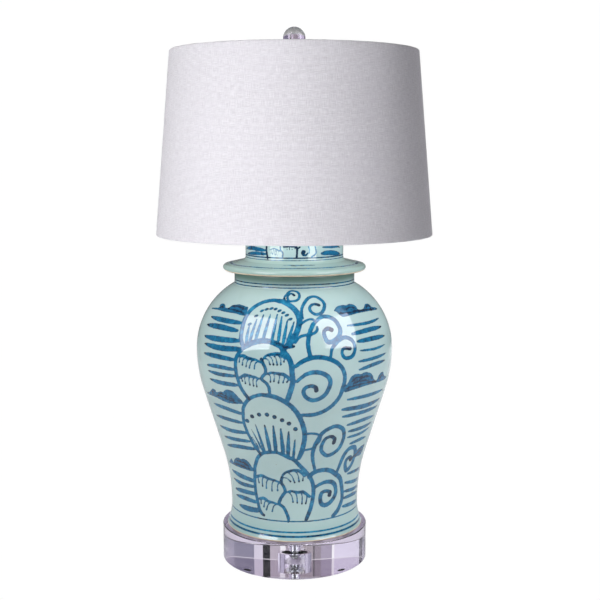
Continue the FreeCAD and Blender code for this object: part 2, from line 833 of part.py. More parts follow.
def make_shade():
    slant, point = shade_frame()
    cloth, wire = s.cloth, s.ring_wire
    roll = cloth + wire
    around = roll + wire
    fold = cloth + s.styrene

    def hem(edge, sign):
        """The cloth's edge rolled over the ring and folded back over the liner."""
        ring = edge - roll if sign > 0 else roll
        fold_end = edge - s.hem if sign > 0 else s.hem
        outer = [point(ring, ZERO) + (roll,),
                 point(edge, roll) + (roll,),
                 point(ring, around + cloth),
                 point(fold_end, fold + cloth)]
        inner = [point(fold_end, fold),
                 point(ring, around) + (-wire,),
                 point(ring + wire if sign > 0 else ring - wire, roll) + (-wire,),
                 point(ring, cloth)]
        return outer + inner

    top = hem(slant, 1)
    bottom = hem(ZERO, -1)
    # the bottom hem is walked the other way round, so its arcs turn with the same hand
    bottom_walk = [
        point(roll, cloth) + (-wire,),
        point(cloth, roll) + (-wire,),
        bottom[5][:2],
        bottom[4][:2],
        bottom[3][:2],
        bottom[2][:2] + (roll,),
        bottom[1][:2] + (roll,)]
    whole = turned("shade_cloth_whole", [point(roll, ZERO)] + top + bottom_walk)
    top_ring = point(slant - roll, roll)
    notches = joined("Part::Compound", "hem_notches",
                     spider_arms("hem_notch", s.spider_wire + s.ring_gap / 2, *top_ring))
    keep(cut("shade_cloth", whole, notches), "shade_cloth")

    clear = roll + wire + 0.2
    low, high = clear, slant - clear
    keep(turned("shade_liner", [
        point(low, fold), point(low, cloth), point(high, cloth), point(high, fold)]),
        "shade_liner")

    keep(wire_ring("shade_bottom_ring", *point(roll, roll), wire - s.ring_gap),
         "shade_bottom_ring")
    make_spider(*top_ring)


def spider_arms(name, radius, ring_r, ring_z):
    """Straight rods from the washer in the middle of the shade out to its top ring."""
    hub_middle = s.stud_seat_height + s.spider_hub_thickness / 2
    start = s.spider_hub_radius - s.spider_hub_overlap
    run = ring_r - start
    rise = ring_z - hub_middle
    length = (run * run + rise * rise).root()
    tilt = math.atan2(run.number, rise.number)
    arms = []
    for i in range(SPIDER_ARMS):
        turn = 2 * math.pi * i / SPIDER_ARMS + math.pi / 2
        arms.append(cylinder("%s_%d" % (name, i + 1), radius, length,
                             x=start * math.cos(turn), y=start * math.sin(turn), z=hub_middle,
                             turn=((-math.sin(turn), math.cos(turn), 0), math.degrees(tilt))))
    return arms


def make_spider(ring_r, ring_z):
    """The top ring, its arms and the washer in the middle are welded into one piece."""
    hub_low = s.stud_seat_height
    ring = wire_ring("spider_ring", ring_r, ring_z, s.ring_wire - s.ring_gap)
    hub = cylinder("spider_hub", s.spider_hub_radius, s.spider_hub_thickness, z=hub_low)
    arms = spider_arms("spider_arm", s.spider_wire, ring_r, ring_z)
    frame = joined("Part::MultiFuse", "spider_frame", [ring, hub] + arms)
    bore = cylinder("spider_bore", s.stud_radius + s.side_gap, s.finial_ball_radius,
                    z=hub_low - s.finial_ball_radius / 2)
    keep(cut("shade_spider", frame, bore), "shade_spider")


# ---------------------------------------------------------------------------------------------
# Finial
# ---------------------------------------------------------------------------------------------
def make_finial():
    low = s.stud_seat_height + s.spider_hub_thickness
    seat = s.finial_seat_height
    wide = s.finial_base_radius
    waist = s.finial_waist_radius
    bore = s.stud_radius + s.running_gap
    bore_top = s.stud_top + 1
    post = s.finial_post_radius
    keep(turned("finial_base", [
        (bore, low),
        (wide, low),
        (wide, low + 2),
        (waist, low + 5),
        (waist, seat - 4),
        (wide - 1, seat - 1.5),
        (wide - 1, seat),
        (post + 2, seat),
        (post + 2, bore_top + 1),
        (post, bore_top + 1),
        (post, s.finial_post_top),
        (ZERO, s.finial_post_top),
        (ZERO, bore_top),
        (bore, bore_top)]), "finial_base")
    ball = s.finial_ball_radius
    drop = s.finial_ball_height - seat
    flat = (ball * ball - drop * drop).root()
    keep(turned("finial_ball", [
        (post + 2, seat),
        (flat, seat, ball),
        (ball, s.finial_ball_height, ball),
        (ZERO, s.finial_ball_height + ball),
        (ZERO, s.finial_post_top),
        (post, s.finial_post_top),
        (post, bore_top + 1),
        (post + 2, bore_top + 1)]), "finial_ball")


# ---------------------------------------------------------------------------------------------
# Build, check and write
# ---------------------------------------------------------------------------------------------
def check_and_write():
    doc.recompute()
    for obj in doc.Objects:
        if "Invalid" in obj.State or "Error" in obj.State:
            raise RuntimeError("%s failed: %s" % (obj.Name, obj.State))
    os.makedirs("parts", exist_ok=True)
    for part in parts:
        if part.Shape.isNull() or not part.Shape.isValid():
            raise RuntimeError("%s has no valid shape" % part.Label)
        if len(part.Label) >= MAX_NAME:
            raise RuntimeError("%s is too long a name" % part.Label)
        part.Shape.exportStep("parts/%s.step" % part.Label)
        print("%-20s solids %d  volume %.0f mm3" % (
            part.Label, len(part.Shape.Solids), part.Shape.Volume))


make_feet()
recess_ceiling, base_top = make_base()
make_bottom_hardware(recess_ceiling)
make_jar(base_top)
make_lid()
saddle_bottom = make_cap_stack()
make_saddle(saddle_bottom)
make_harp()
make_sleeves()
make_stud()
make_socket()
make_socket_inside()
make_switch()
make_bulb()
make_shade()
make_finial()
check_and_write()
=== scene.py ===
import json
import math

import bpy
import numpy as np
from mathutils import Matrix, Vector


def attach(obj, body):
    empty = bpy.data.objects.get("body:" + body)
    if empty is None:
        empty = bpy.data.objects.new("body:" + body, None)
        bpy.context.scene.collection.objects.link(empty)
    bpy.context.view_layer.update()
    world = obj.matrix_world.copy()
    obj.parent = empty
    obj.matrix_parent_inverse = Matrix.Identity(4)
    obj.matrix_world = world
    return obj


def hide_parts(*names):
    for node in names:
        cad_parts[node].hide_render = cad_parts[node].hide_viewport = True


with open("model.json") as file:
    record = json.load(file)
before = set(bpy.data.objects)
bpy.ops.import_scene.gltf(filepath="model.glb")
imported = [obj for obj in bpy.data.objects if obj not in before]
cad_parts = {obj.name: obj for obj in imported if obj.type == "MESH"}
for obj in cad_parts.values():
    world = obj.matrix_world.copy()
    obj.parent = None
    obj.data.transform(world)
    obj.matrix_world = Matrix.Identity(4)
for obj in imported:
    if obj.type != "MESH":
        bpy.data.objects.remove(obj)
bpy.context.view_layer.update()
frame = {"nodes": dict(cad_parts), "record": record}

# Ginger jar table lamp. Metres, +Z up, the front towards -Y. Sizes ending in _MM and all outlines
# and brush strokes are in millimetres; a stroke's points are (degrees to the right, height).
MM = 0.001
MAP_NAME = "OFBake"
nodes = frame["nodes"]


# ---------------------------------------------------------------------------------------------
# Camera, studio and lights
# ---------------------------------------------------------------------------------------------
CAMERA_PLACE = (0.0083, -1.643, 0.6193)
CAMERA_PITCH = 0.1358
CAMERA_LENS = 66.66


def make_camera():
    data = bpy.data.cameras.new("camera")
    data.lens = CAMERA_LENS
    data.sensor_width = 36.0
    data.clip_end = 50.0
    camera = bpy.data.objects.new("camera", data)
    camera.location = CAMERA_PLACE
    camera.rotation_euler = (math.pi / 2 - CAMERA_PITCH, 0, 0)
    bpy.context.scene.collection.objects.link(camera)
    bpy.context.scene.camera = camera


def softbox(name, target, across, up, centre, size, power, color):
    """A rectangular lamp that faces target, its sides along across and up."""
    data = bpy.data.lights.new(name, "AREA")
    data.shape = "RECTANGLE"
    data.size, data.size_y = size
    data.energy = power
    data.color = color
    lamp = bpy.data.objects.new(name, data)
    away = (Vector(centre) - Vector(target)).normalized()
    side = Vector(across)
    side = (side - away * side.dot(away)).normalized()
    top = away.cross(side)
    if top.dot(Vector(up)) < 0:
        side, top = -side, -top
    lamp.matrix_world = Matrix.Translation(centre) @ Matrix((side, top, away)).transposed().to_4x4()
    bpy.context.scene.collection.objects.link(lamp)
    return lamp


SKY_UP = (0, 0, 1)
# Each lamp: what it faces, the ways its width and height run, its centre, size, power and colour.
LAMPS = {
    "left_softbox": ((-0.05, -0.13, 0.37), (0.66, -0.63, 0.2), (0.17, 0.94, 1.08),
                     (-0.91, -0.79, 1.09), (0.95, 1.42), 17.8, (1, 1, 1)),
    "right_softbox": ((0.06, -0.13, 0.37), (0.62, 0.88, -0.17), (-0.2, 0.97, 0.94),
                      (1.0, -0.65, 1.1), (1.1, 1.36), 18.8, (0.97, 0.98, 1.0)),
    "shade_key": ((0.0, 0.0, 0.62), (1, 0, 0), SKY_UP, (-1.0, -1.73, 0.8), (0.9, 0.9), 34.8, (1, 1, 1)),
    "left_strip": ((-0.04, -0.06, 0.475), (1, -1, 0), SKY_UP,
                   (-0.8, -0.95, 0.37), (0.72, 0.2), 2.4, (1, 1, 1)),
    "right_strip": ((0.04, -0.06, 0.475), (1, 1, 0), SKY_UP,
                    (0.84, -0.92, 0.37), (0.44, 0.2), 1.5, (1, 1, 1)),
    "back_fill": ((0.0, 0.0, 0.45), (1, 0, 0), SKY_UP, (0.5, 1.9, 1.2), (1.6, 1.6), 32.0, (1, 1, 1)),
}
SKY_COLOR, SKY_STRENGTH = (0.98, 0.99, 1.0, 1), 0.16


def make_lights():
    """Two tall softboxes, a key for the shade, two low strips for the lid and a fill for the back."""
    lamps = {name: softbox(name, *values) for name, values in LAMPS.items()}
    fill = lamps["back_fill"]
    fill.visible_glossy = fill.visible_transmission = False
    world = bpy.data.worlds.new("studio")
    world.use_nodes = True
    sky = world.node_tree.nodes["Background"]
    sky.inputs["Color"].default_value = SKY_COLOR
    sky.inputs["Strength"].default_value = SKY_STRENGTH
    bpy.context.scene.world = world
    bpy.context.scene.view_settings.view_transform = "Standard"
    return lamps


def light_only(lamps, pieces, state):
    """Lets lamps light these pieces alone (INCLUDE), or everything but them (EXCLUDE).

    Pieces left out don't block the lamps' light either.
    """
    group = bpy.data.collections.new(f"lit_{lamps[0].name}")
    for piece in pieces:
        group.objects.link(piece)
    for member in group.collection_objects:
        member.light_linking.link_state = state
    for lamp in lamps:
        lamp.light_linking.receiver_collection = group
        if state == "EXCLUDE":
            lamp.light_linking.blocker_collection = group


# ---------------------------------------------------------------------------------------------
# Materials
# ---------------------------------------------------------------------------------------------
def rgb(red, green, blue):
    """An 8-bit screen colour as the linear one that a shader takes."""
    parts = [v / 255 for v in (red, green, blue)]
    linear = [v / 12.92 if v <= 0.04045 else ((v + 0.055) / 1.055) ** 2.4 for v in parts]
    return (*linear, 1.0)


class Look:
    """A material with short calls that add and link its nodes."""

    def __init__(self, name, **constants):
        self.material = bpy.data.materials.new(name)
        self.material.use_nodes = True
        self.tree = self.material.node_tree
        self.shader = self.tree.nodes["Principled BSDF"]
        for key, value in constants.items():
            self.shader.inputs[key.replace("_", " ")].default_value = value

    def feed(self, socket, value):
        if isinstance(value, bpy.types.NodeSocket):
            self.tree.links.new(value, socket)
        else:
            socket.default_value = value

    def add(self, kind, inputs=None, **settings):
        node = self.tree.nodes.new("ShaderNode" + kind)
        for key, value in settings.items():
            setattr(node, key, value)
        for key, value in (inputs or {}).items():
            self.feed(node.inputs[key], value)
        return node

    def place(self):
        return self.add("TexCoord").outputs["Object"]

    def value(self, name):
        """A number stored on the mesh's points."""
        return self.add("Attribute", attribute_name=name).outputs["Fac"]

    def calc(self, operation, a, b=0.0, c=0.0):
        return self.add("Math", {0: a, 1: b, 2: c}, operation=operation).outputs[0]

    def plus(self, a, b):
        return self.calc("ADD", a, b)

    def times(self, a, b):
        return self.calc("MULTIPLY", a, b)

    def sway(self, value, amount):
        """A noise as a swing of amount about nought."""
        return self.times(self.calc("SUBTRACT", value, 0.5), amount)

    def ramp(self, value, low, high, first=0.0, last=1.0):
        """Eases from first to last as value goes from low to high."""
        return self.add("MapRange", {"Value": value, "From Min": low, "From Max": high,
                                     "To Min": first, "To Max": last},
                        interpolation_type="SMOOTHSTEP").outputs["Result"]

    def mix(self, factor, a, b, kind="MIX"):
        node = self.add("Mix", {0: factor, 6: a, 7: b}, data_type="RGBA", blend_type=kind)
        return node.outputs[2]

    def noise(self, vector, scale, detail=3.0, rough=0.5):
        return self.add("TexNoise", {"Vector": vector, "Scale": scale, "Detail": detail,
                                     "Roughness": rough}).outputs["Fac"]

    def stretch(self, vector, x, y, z):
        return self.add("Mapping", {"Vector": vector, "Scale": (x, y, z)}).outputs["Vector"]

    def bump(self, height, distance, strength=1.0):
        node = self.add("Bump", {"Height": height, "Distance": distance, "Strength": strength})
        self.feed(self.shader.inputs["Normal"], node.outputs["Normal"])

    def set(self, name, value):
        self.feed(self.shader.inputs[name], value)


# Each painted ring's height and width in millimetres, and its tone.
RINGS = ((84.5, 2.0, 0.55), (69.0, 2.4, 0.36), (63.0, 2.8, 0.66), (428.0, 1.7, 0.7),
         (423.6, 1.6, 0.65), (452.0, 0.75, 0.6), (461.0, 1.1, 0.6), (464.6, 2.0, 0.75))

# Heights in metres: where the glaze pools above the foot, where the neck is darkened as painted shade
# beneath the brim, and where the lid's brim begins and ends.
POOL_LOW, POOL_HIGH = 0.055, 0.12
NECK_SHADE_LOW, NECK_SHADE_FULL = 0.424, 0.436
BRIM_LOW, BRIM_FULL = 0.4405, 0.4435
BRIM_FADE, BRIM_HIGH = 0.458, 0.464


def glaze_look():
    """Pale celadon glaze over underglaze blue brushwork and banding, with bare clay at the edges.

    The rings waver a little round the jar.
    """
    look = Look("celadon_glaze", IOR=1.56)
    place = look.place()
    broad = look.noise(place, 9.0, 4.0)
    fine = look.noise(place, 70.0, 3.0)
    glaze = look.mix(look.ramp(broad, 0.3, 0.7), rgb(164, 190, 191), rgb(176, 200, 199))
    glaze = look.mix(look.ramp(fine, 0.45, 0.8, 0.0, 0.35), glaze, rgb(166, 190, 186))
    height = look.add("SeparateXYZ", {0: place}).outputs[2]
    pool = look.plus(look.sway(broad, 0.02), height)
    glaze = look.mix(look.ramp(pool, POOL_HIGH, POOL_LOW, 0.0, 0.6), glaze, rgb(152, 182, 180))
    # Painted shade: the neck is darkened where the overhanging brim shades it.
    neck_shade = look.times(look.ramp(height, NECK_SHADE_LOW, NECK_SHADE_FULL), look.ramp(height, BRIM_FULL, BRIM_LOW))
    glaze = look.mix(look.times(neck_shade, 0.85), glaze, rgb(92, 128, 118))
    brim = look.times(look.ramp(height, BRIM_LOW, BRIM_FULL), look.ramp(height, BRIM_HIGH, BRIM_FADE))
    glaze = look.mix(look.times(brim, 0.66), glaze, rgb(140, 164, 154))
    specks = look.add("TexVoronoi", {"Vector": place, "Scale": 42.0}).outputs["Distance"]
    keep = look.ramp(look.noise(place, 23.0, 1.0), 0.6, 0.7)
    spot = look.times(look.ramp(specks, 0.028, 0.016), keep)
    glaze = look.mix(look.times(spot, 0.7), glaze, rgb(122, 96, 70))

    rough_line = look.sway(look.noise(place, 330.0, 2.0), 1.1)
    waver = look.sway(look.noise(place, 7.0, 1.0), 1.3)
    level = look.plus(look.times(height, 1 / MM), waver)
    ink_edge, ink_tone = look.value("ink_edge"), look.value("ink_tone")
    for ring_height, width, tone in RINGS:
        away = look.calc("ABSOLUTE", look.calc("SUBTRACT", level, ring_height))
        depth = look.calc("SUBTRACT", away, width / 2)
        inside = look.ramp(depth, 0.1, -0.1)
        ink_tone = look.calc("MAXIMUM", ink_tone, look.times(inside, tone))
        ink_edge = look.calc("MINIMUM", ink_edge, look.times(depth, 1.6))
    edge = look.plus(ink_edge, rough_line)
    cover = look.ramp(edge, 0.35, -0.4)
    wet_rim = look.ramp(edge, -1.3, -0.3, 0.0, 0.16)
    streak = look.ramp(look.noise(place, 150.0, 4.0, 0.6), 0.25, 0.75, -0.32, 0.28)
    tone = look.plus(look.plus(ink_tone, wet_rim), streak)
    pale = look.mix(look.ramp(tone, -0.1, 0.5), rgb(44, 148, 186), rgb(0, 96, 138))
    ink = look.mix(look.ramp(tone, 0.47, 1.0), pale, rgb(0, 32, 62))
    color = look.mix(look.times(cover, 0.985), glaze, ink)

    bare = look.ramp(look.plus(look.value("bare_clay"), look.sway(fine, 0.5)), 0.45, 0.55)
    clay = look.mix(fine, rgb(186, 164, 134), rgb(222, 208, 186))
    look.set("Base Color", look.mix(bare, color, clay))
    look.set("Roughness", look.ramp(bare, 0.0, 1.0, 0.06, 0.75))
    swell = look.noise(place, 14.0, 1.0)
    grain = look.times(look.noise(place, 900.0, 2.0), look.times(bare, 0.1))
    look.bump(look.plus(swell, grain), 0.0012)
    return look.material


def linen_look():
    """Off-white linen: uneven warp and weft, with slubs along the threads."""
    look = Look("linen_cloth", IOR=1.45, Sheen_Weight=0.25, Sheen_Roughness=0.5)
    cloth = look.add("UVMap", uv_map="cloth_map").outputs["UV"]
    drift = look.noise(cloth, 60.0, 2.0)
    shift = look.times(drift, 0.0016)
    offset = look.add("CombineXYZ", {0: shift, 1: shift}).outputs[0]
    bent = look.add("VectorMath", {0: cloth, 1: offset}, operation="ADD").outputs[0]
    across = look.noise(look.stretch(bent, 90.0, 1500.0, 1.0), 1.0, 2.0)
    along = look.noise(look.stretch(bent, 1500.0, 90.0, 1.0), 1.0, 2.0)
    weft, warp = (look.add("TexWave", {"Vector": bent, "Scale": scale, "Distortion": 1.2, "Detail": 2.0,
                                       "Detail Scale": 1.6}, bands_direction=axis).outputs["Fac"]
                  for scale, axis in ((210.0, "Y"), (230.0, "X")))
    weave = look.times(look.plus(weft, across), look.plus(warp, along))
    slub = look.plus(across, along)
    tint = look.mix(look.ramp(slub, 0.72, 1.3), rgb(212, 209, 215), rgb(236, 234, 239))
    tint = look.mix(look.ramp(weave, 0.2, 1.6, 0.2, 0.0), tint, rgb(184, 180, 188))
    patch = look.noise(cloth, 7.0, 3.0)
    look.set("Base Color", look.mix(look.ramp(patch, 0.35, 0.7, 0.0, 0.3), tint, rgb(222, 219, 226)))
    look.set("Roughness", look.ramp(weave, 0.0, 2.0, 0.95, 0.82))
    look.bump(look.plus(weave, look.times(slub, 0.6)), 0.0002)
    return look.material


def acrylic_look():
    look = Look("clear_acrylic", IOR=1.49, Transmission_Weight=1.0)
    place = look.place()
    haze = look.ramp(look.noise(place, 38.0, 4.0), 0.62, 0.8, 0.0, 0.03)
    look.set("Roughness", haze)
    look.set("Base Color", look.mix(look.noise(place, 5.0, 1.0), rgb(248, 246, 252), rgb(252, 251, 255)))
    return look.material


def metal_look(name, light, dark, rough):
    """Plated or bare metal with fine scratches and duller patches."""
    look = Look(name, Metallic=1.0)
    place = look.place()
    patch = look.noise(place, 90.0, 4.0)
    scratch = look.noise(look.stretch(place, 400.0, 400.0, 4000.0), 1.0, 3.0)
    dull = look.times(look.ramp(patch, 0.45, 0.75), 0.4)
    look.set("Base Color", look.mix(dull, light, dark))
    polish = look.ramp(scratch, 0.3, 0.7, rough, rough + 0.12)
    look.set("Roughness", look.plus(look.times(dull, 0.25), polish))
    look.bump(look.plus(look.times(scratch, 0.2), patch), 0.00006)
    return look.material


def matter_look(name, light, dark, rough, scale=160.0, relief=0.0002, **constants):
    """A plain solid stuff, such as rubber, fibre or moulded plastic, with its own grain."""
    look = Look(name, **constants)
    place = look.place()
    grain = look.noise(place, scale, 4.0, 0.6)
    patch = look.noise(place, scale / 8, 2.0)
    look.set("Base Color", look.mix(look.ramp(look.plus(grain, patch), 0.7, 1.3), dark, light))
    look.set("Roughness", look.ramp(grain, 0.3, 0.7, rough, min(rough + 0.12, 1.0)))
    look.bump(grain, relief)
    return look.material


def frosted_look():
    look = Look("frosted_glass", IOR=1.5, Transmission_Weight=0.35, Subsurface_Weight=0.3)
    look.shader.inputs["Subsurface Radius"].default_value = (0.004, 0.004, 0.004)
    grain = look.noise(look.place(), 1200.0, 2.0)
    look.set("Base Color", look.mix(grain, rgb(236, 236, 232), rgb(248, 248, 245)))
    look.set("Roughness", look.ramp(grain, 0.3, 0.7, 0.4, 0.55))
    return look.material


def make_materials():
    return {
        "glaze": glaze_look(),
        "linen": linen_look(),
        "acrylic": acrylic_look(),
        "rubber": matter_look("grey_rubber", rgb(176, 178, 180), rgb(150, 152, 155), 0.55),
        "zinc_steel": metal_look("zinc_steel", rgb(206, 208, 212), rgb(150, 152, 158), 0.22),
        "nickel": metal_look("bright_nickel", rgb(226, 222, 214), rgb(170, 164, 156), 0.12),
        "brass": metal_look("brass", rgb(222, 186, 108), rgb(150, 112, 56), 0.2),
        "cap_aluminium": metal_look("cap_aluminium", rgb(214, 215, 217), rgb(160, 161, 165), 0.28),
        "solder": metal_look("solder", rgb(190, 190, 192), rgb(120, 120, 124), 0.35),
        "fibre": matter_look("fibre_card", rgb(120, 84, 56), rgb(84, 56, 38), 0.85, 600.0),
        "phenolic": matter_look("phenolic", rgb(30, 27, 26), rgb(16, 14, 14), 0.3, 300.0, 0.00005),
        "frosted_glass": frosted_look(),
        "styrene": matter_look("styrene_liner", rgb(240, 239, 236), rgb(226, 225, 222), 0.42, 90.0,
                               0.00008),
        "white_wire": matter_look("white_enamel", rgb(238, 238, 236), rgb(214, 213, 210), 0.3, 220.0,
                                  0.00006, Coat_Weight=0.3),
    }


# ---------------------------------------------------------------------------------------------
# Outlines and turned meshes
# ---------------------------------------------------------------------------------------------
def trace(corners, step):
    """Points along an open outline of lines and arcs.

    A corner is (radius, height) or (radius, height, curve): curve is the radius of the arc to the
    next corner, above 0 where it turns left.
    """
    points = [np.array(corners[0][:2], float)]
    for corner, after in zip(corners, corners[1:]):
        start, end = np.array(corner[:2], float), np.array(after[:2], float)
        chord = end - start
        length = np.hypot(*chord)
        if len(corner) < 3:
            count = max(1, round(length / step))
            points += [start + chord * i / count for i in range(1, count + 1)]
            continue
        curve = corner[2]
        left = np.array([-chord[1], chord[0]]) / length * math.copysign(1.0, curve)
        centre = (start + end) / 2 + left * math.sqrt(max(curve ** 2 - length ** 2 / 4, 0.0))
        first = math.atan2(*(start - centre)[::-1])
        turn = 2 * math.asin(min(1.0, length / 2 / abs(curve))) * math.copysign(1.0, curve)
        count = max(2, round(abs(turn * curve) / step))
        for i in range(1, count + 1):
            angle = first + turn * i / count
            points.append(centre + abs(curve) * np.array([math.cos(angle), math.sin(angle)]))
    return points


def turned_mesh(name, outline, columns, shape=None):
    """A closed outline in millimetres turned about Z. Returns the object and its grids.

    The grids are each vertex's azimuth in degrees and its radius and height in millimetres.
    shape may change the radius grid before the mesh is made.
    """
    ring = np.array(outline)
    rows = len(ring)
    azimuth = np.tile(-180 + 360 * np.arange(columns) / columns, (rows, 1))
    radius = np.tile(ring[:, :1], (1, columns))
    height = np.tile(ring[:, 1:], (1, columns))
    if shape is not None:
        radius, height = shape(azimuth, radius, height)
    angle = np.radians(azimuth)
    co = np.stack([radius * np.sin(angle), -radius * np.cos(angle), height], -1) * MM
    row = np.arange(rows)[:, None]
    col = np.arange(columns)[None, :]
    up, right = (row + 1) % rows, (col + 1) % columns
    quads = np.stack([row * columns + col, row * columns + right,
                      up * columns + right, up * columns + col], -1).reshape(-1, 4)
    mesh = bpy.data.meshes.new(name)
    mesh.from_pydata(co.reshape(-1, 3).tolist(), [], quads.tolist())
    lengths = np.hypot(*(np.roll(ring, -1, 0) - ring).T)
    along = np.concatenate([[0.0], np.cumsum(lengths)])
    u = np.stack([col + 0 * row, col + 1 + 0 * row, col + 1 + 0 * row, col + 0 * row], -1) / columns
    v = np.stack([along[row] + 0 * col, along[row] + 0 * col,
                  along[row + 1] + 0 * col, along[row + 1] + 0 * col], -1)
    around = 2 * math.pi * ring[:, 0].max()
    flat = mesh.uv_layers.new(name=MAP_NAME)
    flat.data.foreach_set("uv", np.stack([u, v / along[-1]], -1).astype(np.float32).ravel())
    real = mesh.uv_layers.new(name="cloth_map")
    real.data.foreach_set("uv", np.stack([u * around * MM, v * MM], -1).astype(np.float32).ravel())
    mesh.polygons.foreach_set("use_smooth", np.ones(len(quads), bool))
    mesh.update()
    obj = bpy.data.objects.new(name, mesh)
    bpy.context.scene.collection.objects.link(obj)
    return obj, azimuth, radius, height


def sharpen(obj, degrees=35.0):
    """Keeps hard edges hard where the outline turns a corner."""
    obj.data.set_sharp_from_angle(angle=math.radians(degrees))


def dress(obj, material, body, slot, *replaced):
    obj.data.materials.clear()
    obj.data.materials.append(material)
    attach(obj, body)
    if replaced:
        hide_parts(*replaced)


# ---------------------------------------------------------------------------------------------
# Brushwork: how deep each point of the glaze lies inside the strokes
# ---------------------------------------------------------------------------------------------
EVEN = ((0.0, 0.8), (0.06, 1.0), (0.94, 1.0), (1.0, 0.8))
DASH = ((0.0, 0.22), (0.1, 0.55), (0.32, 0.95), (0.6, 1.0), (0.88, 0.85), (1.0, 0.5))
LEAF = ((0.0, 0.4), (0.25, 0.7), (0.7, 1.0), (1.0, 0.85))
HAIR = ((0.0, 1.0), (0.55, 0.75), (0.8, 0.9), (1.0, 1.15))
CURL = ((0.0, 1.0), (0.08, 0.8), (0.3, 1.0), (0.8, 1.0), (1.0, 0.7))
# In millimetres: the depth away from every stroke, the margin worked out round one, the step along
# it and the depth past which two strokes' ink adds up, by EXTRA_TONE. A wash takes REACH in
# degrees across.
FAR, REACH, STROKE_STEP, WET_DEPTH = 9.0, 3.0, 1.1, -0.4
EXTRA_TONE = 0.12
DEGREE = 2.2  # about the millimetres in a degree round the jar
COPIES = (0.0, 180.0)


def smooth_path(points, step):
    """Points every step millimetres or so along a smooth line through the given ones."""
    pts = np.array(points, float)
    if len(pts) == 2:
        count = max(2, int(np.hypot((pts[1, 0] - pts[0, 0]) * DEGREE, pts[1, 1] - pts[0, 1]) / step))
        t = np.linspace(0, 1, count + 1)[:, None]
        return pts[0] + (pts[1] - pts[0]) * t
    padded = np.vstack([2 * pts[0] - pts[1], pts, 2 * pts[-1] - pts[-2]])
    found = []
    for a, b, c, d in zip(padded, padded[1:], padded[2:], padded[3:]):
        count = max(2, int(np.hypot((c[0] - b[0]) * DEGREE, c[1] - b[1]) / step))
        t = (np.arange(count) / count)[:, None]
        found.append(0.5 * (2 * b + (c - a) * t + (2 * a - 5 * b + 4 * c - d) * t ** 2
                            + (3 * b - a - 3 * c + d) * t ** 3))
    found.append(pts[-1:])
    return np.vstack(found)


